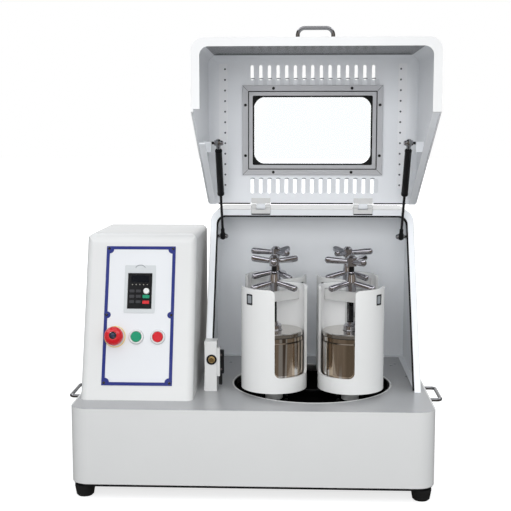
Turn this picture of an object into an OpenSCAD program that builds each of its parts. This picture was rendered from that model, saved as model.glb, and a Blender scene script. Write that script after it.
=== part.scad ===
// Bench planetary ball mill with four pot stations, a hinged hood and a control box.
// Millimetres, +X right, +Y to the rear, +Z up. The origin lies on the table, under the
// middle of the base. The hood is drawn open, as it stands at rest.

/* [Base] */
// Distance of the control box from the base's left wall
box_margin = 10; // [6:1:14]
// Gap between the control box and the chamber
box_gap = 16; // [12:1:24]
// Distance of the chamber from the base's right wall
chamber_margin = 14; // [10:1:20]
// Depth of the base cabinet
base_d = 520; // [505:5:580]
// Height of the base cabinet's walls
base_h = 159; // [155:1:190]
// Radius of the base's upright corners
base_corner_r = 38; // [30:1:46]
// Radius of the base's top edge
base_edge_r = 6; // [3:1:9]
// Thickness of the base's and the motor flange's sheet
base_t = 2; // [1.5:0.5:3]
// Height of a rubber foot
foot_h = 24; // [20:1:36]
// Radius of a rubber foot at its top
foot_r = 21; // [18:1:24]
// Distance of a foot's axis from the base's side and front walls
foot_in = 27; // [26:1:40]
// Height of the black pan below the walls
pan_h = 7; // [6:1:12]
// Set-back of the pan from the walls' outer face
pan_in = 7; // [4:1:10]
// Length of a side handle between its two leg axes
side_handle_len = 100; // [90:1:120]
// Reach of a side handle from the wall to its bar's axis
side_handle_reach = 28; // [22:1:36]
// Radius of a side handle's bar
side_handle_r = 3.8; // [3:0.1:5]
// Depth of the side handles' axis below the base's top
side_handle_drop = 13; // [12:1:30]

/* [Chamber] */
// Outer width of the chamber
chamber_w = 472; // [464:1:474]
// Height of the chamber's roof above the base
chamber_h = 382; // [376:1:410]
// Distance of the chamber's rear wall from the base's rear wall
chamber_back_gap = 4; // [0:1:8]
// Place of the chamber's front foot
chamber_foot_y = -104; // [-114:1:-96]
// Place of the chamber roof's front edge
chamber_top_y = 105; // [98:1:112]
// Radius of the chamber's and the hood's long top edges
shell_r = 26; // [20:1:32]
// Sheet thickness of the chamber and the hood
sheet_t = 2; // [1.5:0.5:3]
// Width of the chamber's front flange
flange_w = 14; // [10:1:18]

/* [Hood] */
// Distance of the hood's side wall outside the chamber's
hood_side = 5; // [4:0.5:7]
// Place of the hood's front wall when it is shut
hood_front_y = -248; // [-252:1:-240]
// Height of the hood's top above the chamber's roof
hood_rise = 6; // [5:1:9]
// Width of the hood's turned-in rim
rim_w = 17; // [12:1:20]
// Gap between the shut hood's rim and the base
rim_gap = 2; // [1:0.5:4]
// Gap between the shut hood and the chamber's slanted flange, for the seal
seal_gap = 3; // [2:0.5:5]
// Angle that the hood stands open at
hood_open = 90; // [85:1:92]
// Width of the clear window
window_w = 273; // [240:1:280]
// Depth of the clear window
window_d = 156; // [140:1:160]
// Distance of the window's middle from the hinge axis
window_u = 177; // [174:1:181]
// Corner radius of the clear window
window_r = 20; // [10:1:26]
// Width of the window frame's bars
frame_bar = 14; // [12:1:16]
// Width of the glass margin between the frame and the clear window
glass_margin = 11; // [8:1:12]
// Thickness of the window pane
pane_t = 4; // [3:0.5:6]
// Number of louvres in each of the two rows
louvre_n = 15; // [9:1:15]
// Spacing of the louvres
louvre_pitch = 19.9; // [15:0.1:20.5]
// Width of a louvre slot
louvre_w = 7.4; // [5:0.1:9]
// Length of a louvre slot
louvre_len = 34; // [24:1:36]
// Outer width of the hood's handle
hood_handle_w = 78; // [70:1:100]
// Height of the hood's handle
hood_handle_h = 28; // [24:1:40]
// Radius of the hood handle's bar
hood_handle_r = 4; // [3:0.5:5]
// Height of the hood handle above the base when the hood is shut
hood_handle_z = 74; // [60:1:120]

/* [Hinges and gas struts] */
// Width of a hinge
hinge_w = 44; // [38:1:50]
// Distance between the middles of the two hinges
hinge_spacing = 238; // [220:1:260]
// Outer radius of a hinge knuckle
knuckle_r = 6; // [5:0.5:7]
// Radius of a hinge pin
hinge_pin_r = 2.5; // [2:0.5:3]
// Thickness of a hinge leaf
leaf_t = 2.5; // [2:0.5:3]
// Distance of the strut's plane from the shell's outer side
strut_in = 28; // [27:1:30]
// Radius of a strut's cylinder
strut_r = 7.5; // [6:0.5:8]
// Radius of a strut's rod
strut_rod_r = 3; // [2.5:0.5:4]
// Length of a strut's cylinder
strut_tube_len = 112; // [108:1:118]
// Lower pivot's distance behind the roof's front edge (negative is in front)
strut_low_y = -5; // [-8:1:0]
// Lower pivot's distance below the hinge axis
strut_low_drop = 69; // [66:1:72]
// Upper pivot's distance in front of the hinge axis, hood shut
strut_top_u = 149; // [146:1:152]
// Upper pivot's distance below the hinge axis, hood shut
strut_top_drop = 135; // [132:1:138]

/* [Drive] */
// Radius of the round opening in the base's deck
deck_hole_r = 175; // [172:1:178]
// Place of the turntable's axis in front of the base's middle
turn_front = 20; // [14:1:26]
// Running gap between the turntable and the deck's opening
turn_gap = 3; // [2:0.5:6]
// Depth of the turntable's top below the deck
turn_drop = 15; // [14:1:18]
// Thickness of the turntable
turn_t = 12; // [10:1:14]
// Gear module
gear_m = 3; // [2.9:0.05:3.05]
// Teeth of the fixed sun gear
sun_teeth = 52; // [52:4:52]
// Teeth of a planet gear
planet_teeth = 26; // [26:1:26]
// Height of the gears
gear_h = 18; // [14:1:18]
// Tooth thinning that gives the gears their backlash
backlash = 0.2; // [0.15:0.05:0.4]
// Radius of the turntable's spindle
spindle_r = 15; // [12:1:18]
// Radius of a planet shaft
planet_shaft_r = 11; // [9:1:12]
// Radius of the driven pulley
driven_r = 75; // [60:1:80]
// Radius of the motor's pulley
drive_r = 35; // [30:1:40]
// Height of both pulleys
pulley_h = 22; // [18:1:24]
// Width of the drive belt
belt_w = 14; // [10:1:16]
// Thickness of the drive belt
belt_t = 4; // [3:0.5:5]
// Radius of the motor's housing
motor_r = 68; // [60:1:72]
// Length of the motor's housing
motor_len = 170; // [150:1:190]
// Running clearance on the radius of a shaft or a pin in its bore
fit_gap = 0.06; // [0.04:0.01:0.1]
// Gap between pieces that turn or slide past each other
run_gap = 0.4; // [0.3:0.1:0.8]

/* [Pot stations] */
// Outer radius of a pot holder
holder_r = 71; // [69:0.5:72]
// Wall of a pot holder
holder_t = 6; // [5:0.5:7]
// Height of a pot holder
holder_h = 221; // [215:1:228]
// Gap between the deck and the holders' bottom
holder_lift = 12; // [10:1:16]
// Thickness of a holder's floor
holder_floor = 12; // [10:1:14]
// Radius of the hub under a holder
hub_r = 18; // [16:1:24]
// Width of a holder's tall slots
slot_w = 93; // [60:1:96]
// Height of the tall slots' foot above the holder's bottom
slot_foot = 33; // [24:1:40]
// Corner radius at the foot of a tall slot
slot_r = 12; // [8:1:16]
// Radius of the corners where a slot meets the rim
rim_r = 9; // [5:1:14]
// Width of the clamp bar
bar_w = 18; // [16:1:22]
// Height of the clamp bar
bar_h = 22; // [18:1:24]
// Depth of the clamp bar's top below the holder's rim
bar_drop = 12; // [10:1:16]
// Depth of the clamp bar's ends inside the holder's outer face
bar_in = 1.5; // [-3:0.5:3]
// Gap round the clamp bar in its windows
bar_gap = 1; // [0.5:0.1:2]
// Radius of a jar
jar_r = 62; // [58:0.5:63]
// Height of a jar's body
jar_h = 104; // [90:1:108]
// Wall of a jar
jar_t = 6; // [4:0.5:8]
// Thickness of a jar's lid
jar_lid_t = 9; // [7:1:12]
// Radius of a clamp screw
screw_r = 5.5; // [5:0.5:7]
// Radius of a pressure pad
pad_r = 16; // [12:1:18]
// Height of a pressure pad
pad_h = 18; // [15:1:20]
// Height of the pressure star's arms above the holder's rim
star_high = 52; // [50:1:60]
// Height of the lock star's arms above the clamp bar
star_low = 10; // [9:1:14]
// Length of a star's arm from the screw's axis
star_len = 57; // [50:1:60]
// Angle that a pressure star's arms rise at
star_rise = 4; // [0:1:8]
// Radius of a pressure star's arm where it leaves the hub
star_root_r = 5.5; // [5:0.5:6.5]
// Radius of a pressure star's arm near its end
star_tip_r = 6.5; // [5:0.5:7]
// Radius of a lock star's arm
lock_arm_r = 4.8; // [4:0.2:5.4]

/* [Control box] */
// Width of the control box
box_w = 238; // [230:1:242]
// Height of the control box
box_h = 341; // [330:1:360]
// Place of the control box's front foot
box_front_y = -192; // [-200:1:-180]
// Place of the control box's rear wall
box_rear_y = 170; // [150:1:200]
// Angle that the control box's face leans back at
box_lean = 18; // [15:1:20]
// Radius of the edge between the face and the top
box_brow_r = 28; // [20:1:34]
// Radius of the control box's other edges
box_edge_r = 14; // [10:1:18]
// Sheet thickness of the control box
box_t = 2; // [1.5:0.5:3]
// Width of the frame raised on the face
panel_w = 150; // [140:1:160]
// Height of the frame raised on the face
panel_h = 300; // [290:1:305]
// Distance of that frame from the foot of the face
panel_foot = 31; // [26:1:34]
// Width of that frame's line
panel_line = 7; // [5:0.5:9]
// Height that the frame stands off the face
panel_proud = 0.8; // [0.5:0.1:1.5]
// Distance of the row of buttons from the foot of the face
button_row = 134; // [125:1:140]
// Shift of the row of buttons from the face's middle
row_x = -4; // [-8:1:8]
// Distance between the buttons
button_pitch = 46; // [44:1:48]
// Radius of the emergency stop's head
stop_head_r = 20; // [17:0.5:20.5]
// Radius of the start and stop buttons
button_r = 11; // [9:0.5:12]
// Width of the keypad
keypad_w = 52; // [48:1:56]
// Height of the keypad
keypad_h = 77; // [70:1:80]
// Distance of the keypad's middle from the foot of the face
keypad_mid = 233; // [228:1:238]
// Radius of the speed knob
knob_r = 6; // [5:0.5:7]

/* [Interlock] */
// Width of the interlock housing
lock_w = 26; // [22:1:28]
// Depth of the interlock housing
lock_d = 34; // [30:1:38]
// Height of the interlock housing
lock_h = 110; // [100:1:120]
// Distance of the interlock housing in front of the chamber's foot
lock_front = 4; // [2:1:6]
// Radius of the brass plunger
plunger_r = 8; // [6:0.5:9]
// Height of the plunger's axis above the base
plunger_z = 70; // [60:1:80]

/* [Hidden] */
$fn = 96;
cut = 1;
base_w = box_margin + box_w + box_gap + chamber_w + chamber_margin;
box_x = -base_w / 2 + box_margin + box_w / 2;
chamber_x = base_w / 2 - chamber_margin - chamber_w / 2;
hood_w = chamber_w + 2 * hood_side;
base_bottom = foot_h + pan_h;
base_top = base_bottom + base_h;
roof_z = base_top + chamber_h;
chamber_rear_y = base_d / 2 - chamber_back_gap;
chamber_len = chamber_rear_y - chamber_foot_y;
slope = (chamber_top_y - chamber_foot_y) / chamber_h;
slant = atan(slope);
hinge_y = chamber_top_y - 1;
hinge_z = roof_z + knuckle_r;
hood_top_z = roof_z + hood_rise;
hood_rear_y = hinge_y - knuckle_r - 0.5;
rim_z = base_top + rim_gap;
hood_len = hood_rear_y - hood_front_y;
shell_left = chamber_x - chamber_w / 2;
hood_left = chamber_x - hood_w / 2;
hood_over = hood_side;
bracket_reach = strut_in - 14.5;
turn_y = -turn_front;
turn_top = base_top - turn_drop;
turn_bottom = turn_top - turn_t;
station_r = gear_m * (sun_teeth + planet_teeth) / 2;
gear_z = turn_bottom - gear_h - 12;
plate_t = 6;
plate_z = gear_z - 4 - plate_t;
pulley_z = base_bottom + 8;
holder_z = base_top + holder_lift;
rim_top = holder_z + holder_h;
bar_z = rim_top - bar_drop - bar_h;
jar_z = holder_z + holder_floor;
jar_top = jar_z + jar_h + jar_lid_t;
box_top = base_top + box_h;
motor_y = turn_y;
lock_x = shell_left + sheet_t + 0.5;
lock_y = chamber_foot_y - lock_front;
strut_low = [hinge_y + strut_low_y, hinge_z - strut_low_drop];
strut_top_open = [hinge_y - strut_top_u * cos(hood_open) - strut_top_drop * sin(hood_open),
                  hinge_z + strut_top_u * sin(hood_open) - strut_top_drop * cos(hood_open)];
strut_run = strut_top_open - strut_low;
strut_len = norm(strut_run);
strut_tilt = atan2(-strut_run[0], strut_run[1]);
strut_eye_len = 20;
strut_head_len = 22;
strut_open_rod = strut_len - strut_tube_len - strut_eye_len - strut_head_len;

// Directions from the turntable's axis to the stations, and each holder's own turn.
station_at = [225, 315, 45, 135];
holder_turn = [-47, -127, 128, 56];
star_turn = [-90, -65, 0, -60];
lock_turn = [-30, -30, -35, -50];

STATIONS = ["front_left", "front_right", "rear_right", "rear_left"];
STATION_PIECES = ["pot_holder", "planet_gear", "milling_jar", "jar_lid", "clamp_bar",
                  "pressure_pad", "clamp_screw", "lock_star"];

// Plain shapes that several pieces use.

module rounded_square(w, d, r) {
    square([w - 2 * r, d], center = true);
    square([w, d - 2 * r], center = true);
    for (sx = [-1, 1], sy = [-1, 1])
        translate([sx * (w / 2 - r), sy * (d / 2 - r)])
            circle(r);
}

// A front view that stands on y = 0 and has its two top corners rounded.
module arch(w, h, r) {
    translate([-w / 2, 0])
        square([w, h - r]);
    translate([-w / 2 + r, 0])
        square([w - 2 * r, h]);
    for (s = [-1, 1])
        translate([s * (w / 2 - r), h - r])
            circle(r);
}

// Extrudes a side view, drawn as [y, z], from x = 0 to x = w.
module side_view(w) {
    rotate([90, 0, 90])
        linear_extrude(w)
            children();
}

// Extrudes a front view, drawn as [x, z], from y = y0 to y = y1.
module front_view(y0, y1) {
    translate([0, y1, 0])
        rotate([90, 0, 0])
            linear_extrude(y1 - y0)
                children();
}

// A rod of radius r along X.
module rod_x(r, len) {
    rotate([0, 90, 0])
        cylinder(r = r, h = len);
}

// A disc with an edge rounded at its top.
module button_head(r, h, edge) {
    rotate_extrude() {
        square([r, h - edge]);
        square([r - edge, h]);
        translate([r - edge, h - edge])
            intersection() {
                circle(edge);
                square(edge);
            }
    }
}

// Base.

module base_edge_cutter(len) {
    difference() {
        translate([-cut, -cut, 0])
            cube([base_edge_r + cut, base_edge_r + cut, len]);
        translate([base_edge_r, base_edge_r, -cut])
            cylinder(r = base_edge_r, h = len + 2 * cut);
    }
}

// Rounds the base's top edge along its four sides and its four corners.
module base_edge_rounding() {
    for (s = [-1, 1]) {
        translate([0, 0, base_top])
            rotate([0, 0, s > 0 ? 0 : 180])
                translate([-base_w / 2 + base_corner_r, -base_d / 2, 0])
                    rotate([0, 90, 0])
                        base_edge_cutter(base_w - 2 * base_corner_r);
        translate([0, 0, base_top])
            rotate([0, 0, s > 0 ? 0 : 180])
                translate([-base_w / 2, -base_d / 2 + base_corner_r, 0])
                    rotate([-90, 0, 0])
                        base_edge_cutter(base_d - 2 * base_corner_r);
    }
    for (sx = [-1, 1], sy = [-1, 1])
        translate([sx * (base_w / 2 - base_corner_r), sy * (base_d / 2 - base_corner_r), base_top])
            rotate_extrude()
                difference() {
                    translate([base_corner_r - base_edge_r, -base_edge_r])
                        square([base_edge_r + base_corner_r, base_edge_r + cut]);
                    translate([base_corner_r - base_edge_r, -base_edge_r])
                        circle(base_edge_r);
                }
}

module base_housing() {
    color("whitesmoke")
        difference() {
            translate([0, 0, base_bottom])
                linear_extrude(base_h)
                    rounded_square(base_w, base_d, base_corner_r);
            translate([0, 0, base_bottom - cut])
                linear_extrude(base_h - base_t + cut)
                    rounded_square(base_w - 2 * base_t, base_d - 2 * base_t, base_corner_r - base_t);
            translate([chamber_x, turn_y, base_bottom])
                cylinder(r = deck_hole_r, h = base_h + cut);
            translate([box_x, motor_y, base_bottom])
                cylinder(r = motor_r + 6, h = base_h + cut);
        }
}

// A tray that hangs under the walls and turns up inside them.
module base_pan() {
    lip = 3;
    color("black")
        difference() {
            union() {
                translate([0, 0, foot_h])
                    linear_extrude(pan_h)
                        rounded_square(base_w - 2 * pan_in, base_d - 2 * pan_in, base_corner_r - pan_in);
                translate([0, 0, base_bottom - lip])
                    linear_extrude(lip + 14)
                        rounded_square(base_w - 2 * base_t, base_d - 2 * base_t,
                                       base_corner_r - base_t);
            }
            translate([0, 0, foot_h + lip])
                linear_extrude(pan_h + 14)
                    rounded_square(base_w - 2 * pan_in - 2 * lip, base_d - 2 * pan_in - 2 * lip,
                                   base_corner_r - pan_in - lip);
        }
}

module rubber_feet() {
    color("black")
        for (sx = [-1, 1], sy = [-1, 1])
            translate([sx * (base_w / 2 - foot_in), sy * (base_d / 2 - foot_in), 0])
                difference() {
                    rotate_extrude()
                        polygon([[0, 0], [foot_r - 6, 0], [foot_r - 3, 3],
                                 [foot_r, foot_h - 4], [foot_r, foot_h], [0, foot_h]]);
                    translate([0, 0, -cut])
                        cylinder(r = 7, h = 9);
                    translate([0, 0, -cut])
                        cylinder(r = 3.2, h = foot_h + 2 * cut);
                }
}

module side_handle() {
    bend_r = 9;
    for (s = [-1, 1]) {
        translate([0, s * side_handle_len / 2, 0]) {
            rod_x(side_handle_r, side_handle_reach - bend_r);
            rod_x(side_handle_r + 3.5, 3);
        }
        translate([side_handle_reach - bend_r, s * (side_handle_len / 2 - bend_r), 0])
            rotate([0, 0, s > 0 ? 0 : -90])
                rotate_extrude(angle = 90)
                    translate([bend_r, 0])
                        circle(side_handle_r);
    }
    translate([side_handle_reach, side_handle_len / 2 - bend_r, 0])
        rotate([90, 0, 0])
            cylinder(r = side_handle_r, h = side_handle_len - 2 * bend_r);
}

module side_handles() {
    color("dimgray")
        for (s = [-1, 1])
            translate([s * base_w / 2, -62, base_top - side_handle_drop])
                rotate([0, 0, s > 0 ? 0 : 180])
                    side_handle();
}

// Drive inside the base.

pillar_r = 9;
plate_past_motor = 90;
plate_past_spindle = 190;
plate_left = box_x - plate_past_motor;
plate_right = chamber_x + plate_past_spindle;
plate_d = 400;

module drive_frame() {
    color("slategray")
        difference() {
            union() {
                translate([plate_left, turn_y - plate_d / 2, plate_z])
                    cube([plate_right - plate_left, plate_d, plate_t]);
                for (x = [plate_left + 14, plate_right - 14, chamber_x - deck_hole_r - 14],
                     s = [-1, 1])
                    translate([x, turn_y + s * (plate_d / 2 - 14), plate_z + plate_t])
                        cylinder(r = pillar_r, h = base_top - base_t - plate_z - plate_t);
            }
            translate([chamber_x, turn_y, plate_z - cut])
                cylinder(r = spindle_r + 2, h = plate_t + 2 * cut);
            translate([box_x, motor_y, plate_z - cut])
                cylinder(r = 40, h = plate_t + 2 * cut);
        }
}

module drive_motor() {
    body_z = plate_z + plate_t + 10;
    color("darkslategray")
        translate([box_x, motor_y, 0]) {
            difference() {
                union() {
                    translate([0, 0, plate_z + plate_t])
                        cylinder(r = motor_r + 4, h = 10);
                    translate([0, 0, body_z])
                        cylinder(r = motor_r - 5, h = motor_len);
                    for (a = [0:15:345])
                        rotate(a)
                            translate([0, -1.5, body_z + 12])
                                cube([motor_r, 3, motor_len - 52]);
                    translate([0, 0, body_z + motor_len - 34])
                        cylinder(r = motor_r, h = 34);
                    translate([0, 0, plate_z - 2])
                        cylinder(r = 36, h = plate_t + 3);
                }
                translate([0, 0, plate_z - 2 - cut])
                    cylinder(r = 12 + fit_gap, h = 42);
            }
        }
}

module pulley(r, bore_r) {
    groove = 3;
    difference() {
        rotate_extrude()
            polygon([[bore_r, 0], [r, 0], [r, 2], [r - groove, 4], [r - groove, pulley_h - 4],
                     [r, pulley_h - 2], [r, pulley_h], [bore_r, pulley_h]]);
        if (r > 50)
            for (a = [0:60:300])
                rotate(a)
                    translate([r * 0.58, 0, -cut])
                        cylinder(r = 13, h = pulley_h + 2 * cut);
    }
}

module motor_pulley() {
    color("silver")
        translate([box_x, motor_y, pulley_z]) {
            pulley(drive_r, 10);
            cylinder(r = 10.5, h = pulley_h);
            translate([0, 0, pulley_h])
                cylinder(r = 12, h = plate_z - 2 - pulley_z - pulley_h + 36);
        }
}

// The outline of a belt round two pulleys, one at x = 0 and one at x = dist.
module belt_outline(r1, r2, dist) {
    a = acos((r1 - r2) / dist);
    steps = 32;
    polygon(concat([for (k = [0:steps])
                        let (b = a + k * (360 - 2 * a) / steps)
                            r1 * [cos(b), sin(b)]],
                   [for (k = [0:steps])
                        let (b = -a + k * 2 * a / steps)
                            [dist, 0] + r2 * [cos(b), sin(b)]]));
}

module drive_belt() {
    dist = chamber_x - box_x;
    inner = 0.4 - 3;
    color("black")
        translate([box_x, motor_y, pulley_z + (pulley_h - belt_w) / 2])
            linear_extrude(belt_w)
                difference() {
                    belt_outline(drive_r + inner + belt_t, driven_r + inner + belt_t, dist);
                    belt_outline(drive_r + inner, driven_r + inner, dist);
                }
}

bearing_r = 40;
bearing_z = pulley_z + pulley_h + 4;

module main_bearing() {
    color("gray")
        translate([chamber_x, turn_y, 0])
            difference() {
                union() {
                    translate([0, 0, bearing_z])
                        cylinder(r = bearing_r, h = plate_z - bearing_z);
                    translate([0, 0, plate_z - 10])
                        cylinder(r = bearing_r + 26, h = 10);
                }
                translate([0, 0, bearing_z - cut])
                    cylinder(r = spindle_r + fit_gap, h = plate_z - bearing_z + 2 * cut);
                for (a = [45:90:315])
                    rotate(a)
                        translate([bearing_r + 15, 0, plate_z - 10 - cut])
                            cylinder(r = 4.5, h = 10 + 2 * cut);
            }
}

module driven_pulley() {
    color("silver")
        translate([chamber_x, turn_y, pulley_z])
            pulley(driven_r, spindle_r);
}

// Half the angle of a tooth at radius r, from the involute of the base circle.
function involute(a) = tan(a) * 180 / PI - a;
function half_tooth(teeth, r, base_r) =
    90 / teeth - backlash / (gear_m * teeth) * 180 / PI + involute(20)
    - involute(acos(min(1, base_r / r)));

// The outline of a spur gear with a tooth in the middle of its +X side.
module gear_outline(teeth) {
    pitch_r = gear_m * teeth / 2;
    base_r = pitch_r * cos(20);
    root_r = pitch_r - 1.25 * gear_m;
    tip_r = pitch_r + gear_m;
    radii = [root_r, max(base_r, root_r + 0.3), pitch_r, (pitch_r + tip_r) / 2, tip_r];
    polygon([for (i = [0:teeth - 1])
                 for (side = [-1, 1])
                     for (k = [0:4])
                         let (r = radii[side < 0 ? k : 4 - k],
                              a = i * 360 / teeth + side * half_tooth(teeth, r, base_r))
                             r * [cos(a), sin(a)]]);
}

module sun_gear() {
    color("silver")
        translate([chamber_x, turn_y, 0])
            difference() {
                union() {
                    translate([0, 0, gear_z])
                        linear_extrude(gear_h)
                            gear_outline(sun_teeth);
                    translate([0, 0, plate_z + plate_t])
                        cylinder(r = 46, h = gear_z - plate_z - plate_t + 1);
                }
                translate([0, 0, plate_z])
                    cylinder(r = spindle_r + 2, h = gear_z + gear_h - plate_z + cut);
                for (a = [0:90:270])
                    rotate(a)
                        translate([34, 0, plate_z])
                            cylinder(r = 3.5, h = gear_z + gear_h - plate_z + cut);
            }
}

module at_station(i) {
    translate([chamber_x + station_r * cos(station_at[i]), turn_y + station_r * sin(station_at[i]), 0])
        children();
}

module turntable() {
    color("black")
        difference() {
            union() {
                translate([chamber_x, turn_y, turn_bottom])
                    cylinder(r = deck_hole_r - turn_gap, h = turn_t);
                translate([chamber_x, turn_y, gear_z + gear_h + 2])
                    cylinder(r = 36, h = turn_bottom - gear_z - gear_h - 1);
                translate([chamber_x, turn_y, pulley_z])
                    cylinder(r = spindle_r, h = turn_bottom - pulley_z + 1);
                for (i = [0:3])
                    at_station(i)
                        translate([0, 0, turn_bottom - 8])
                            cylinder(r = 26, h = 9);
                translate([chamber_x, turn_y, turn_top - 1])
                    cylinder(r = 24, h = 7);
            }
            for (i = [0:3])
                at_station(i)
                    translate([0, 0, turn_bottom - 8 - cut])
                        cylinder(r = planet_shaft_r + fit_gap, h = turn_t + 8 + 2 * cut);
        }
}

// Milling chamber.

// A channel folded from sheet that stands off a wall at x = 0 and reaches to x = len.
// Its two flanges lie along the wall and at the far end, and its web joins them below.
module strut_bracket(len) {
    w = 22;
    t = 2.5;
    front_view(0, w)
        difference() {
            translate([sheet_t - 0.2, -9])
                square([len - sheet_t + 0.2, 18]);
            translate([sheet_t + t, -9 + t])
                square([len - sheet_t - 2 * t, 18]);
        }
}

function slant_y(z) = chamber_foot_y + (z - base_top) * slope;

// The chamber's outer form, drawn in on its closed sides and let out on its open ones.
module chamber_form(inset, reach) {
    intersection() {
        translate([chamber_x, 0, base_top - reach])
            front_view(chamber_foot_y - 2 * reach, chamber_rear_y - inset)
                arch(chamber_w - 2 * inset, chamber_h + reach - inset, shell_r - inset);
        translate([shell_left - cut, 0, 0])
            side_view(chamber_w + 2 * cut)
                polygon([[chamber_foot_y - reach, base_top - reach - cut],
                         [slant_y(roof_z + cut) - reach, roof_z + cut],
                         [chamber_rear_y + cut, roof_z + cut],
                         [chamber_rear_y + cut, base_top - reach - cut]]);
    }
}

// A slab that lies against the chamber's slanted front plane, set back behind it.
module slant_slab(from, to) {
    translate([shell_left - cut, 0, 0])
        side_view(chamber_w + 2 * cut)
            polygon([[slant_y(base_top - cut) + from / cos(slant), base_top - cut],
                     [slant_y(hood_top_z + cut) + from / cos(slant), hood_top_z + cut],
                     [slant_y(hood_top_z + cut) + to / cos(slant), hood_top_z + cut],
                     [slant_y(base_top - cut) + to / cos(slant), base_top - cut]]);
}

module on_both_sides() {
    for (s = [-1, 1])
        translate([chamber_x, 0, 0])
            scale([1, 1, 1])
                mirror([s > 0 ? 1 : 0, 0, 0])
                    translate([-chamber_w / 2, 0, 0])
                        children();
}

module chamber_shell() {
    color("whitesmoke")
        difference() {
            union() {
                difference() {
                    chamber_form(0, 0);
                    chamber_form(sheet_t, 4);
                }
                difference() {
                    intersection() {
                        chamber_form(0, 0);
                        slant_slab(0, sheet_t);
                    }
                    translate([chamber_x, 0, base_top - cut])
                        front_view(chamber_foot_y - cut, chamber_rear_y)
                            arch(chamber_w - 2 * flange_w, chamber_h - flange_w + cut,
                                 shell_r - flange_w / 2);
                }
                difference() {
                    intersection() {
                        chamber_form(0, 0);
                        translate([shell_left, chamber_foot_y, base_top])
                            cube([chamber_w, chamber_len, sheet_t]);
                    }
                    translate([shell_left + flange_w, chamber_foot_y - cut, base_top - cut])
                        cube([chamber_w - 2 * flange_w, chamber_len - flange_w + cut, sheet_t + 2 * cut]);
                }
                on_both_sides()
                    translate([0, strut_low[0], strut_low[1]]) {
                        translate([0, -8, 0])
                            strut_bracket(bracket_reach);
                        translate([sheet_t, 0, 0])
                            rod_x(3, strut_in - sheet_t + 6.5);
                    }
            }
            for (s = [-1, 1])
                translate([chamber_x + s * hinge_spacing / 2 - hinge_w / 2 - 1, chamber_top_y - 22,
                           roof_z - 11])
                    cube([hinge_w + 2, 26, 12 + cut]);
            translate([lock_x - 0.5, lock_y - cut, base_top - cut])
                cube([lock_w + 1, lock_d + 2, lock_h + 2]);
        }
}

// Hood, drawn shut and then swung open about the hinge axis.

module swung_open() {
    translate([0, hinge_y, hinge_z])
        rotate([-hood_open, 0, 0])
            translate([0, -hinge_y, -hinge_z])
                children();
}

module hood_form(inset, reach) {
    r = shell_r - inset;
    y0 = hood_front_y + inset;
    z1 = hood_top_z - inset;
    z0 = rim_z - reach;
    gap = seal_gap / cos(slant) - reach;
    intersection() {
        translate([chamber_x, 0, z0])
            front_view(y0 - cut, hood_rear_y + reach)
                arch(hood_w - 2 * inset, z1 - z0, r);
        translate([hood_left - cut, 0, 0])
            side_view(hood_w + 2 * cut)
                intersection() {
                    union() {
                        translate([y0, z0 - cut])
                            square([hood_len + 30, z1 - z0 - r + cut]);
                        translate([y0 + r, z0 - cut])
                            square([hood_len + 30, z1 - z0 + cut]);
                        translate([y0 + r, z1 - r])
                            circle(r);
                    }
                    polygon([[y0 - cut, z0 - cut], [slant_y(z0 - cut) - gap, z0 - cut],
                             [slant_y(z1 + cut) - gap, z1 + cut], [y0 - cut, z1 + cut]]);
                }
        translate([chamber_x, y0, z0 - cut])
            linear_extrude(z1 - z0 + 2 * cut)
                translate([0, hood_len])
                    rounded_square(hood_w - 2 * inset, 2 * hood_len, r);
    }
}

module louvres(y_mid) {
    translate([chamber_x, y_mid, hood_top_z - shell_r])
        linear_extrude(shell_r + cut)
            for (i = [0:louvre_n - 1])
                translate([(i - (louvre_n - 1) / 2) * louvre_pitch, 0])
                    rounded_square(louvre_w, louvre_len, louvre_w / 2 - 0.1);
}

module hood_hinge_leaf() {
    knuckle_w = hinge_w / 2 - 1;
    difference() {
        union() {
            translate([-hinge_w / 2, hood_rear_y - 24, hood_top_z - sheet_t - leaf_t])
                cube([hinge_w, 21, leaf_t + 0.5]);
            translate([-knuckle_w / 2, hood_rear_y - 10, hood_top_z - sheet_t - leaf_t])
                cube([knuckle_w, hinge_y - hood_rear_y + 10, leaf_t]);
            translate([-knuckle_w / 2, hinge_y, hinge_z])
                rod_x(knuckle_r, knuckle_w);
        }
        translate([-hinge_w / 2, hinge_y, hinge_z])
            rod_x(hinge_pin_r + fit_gap, hinge_w);
    }
}

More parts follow.
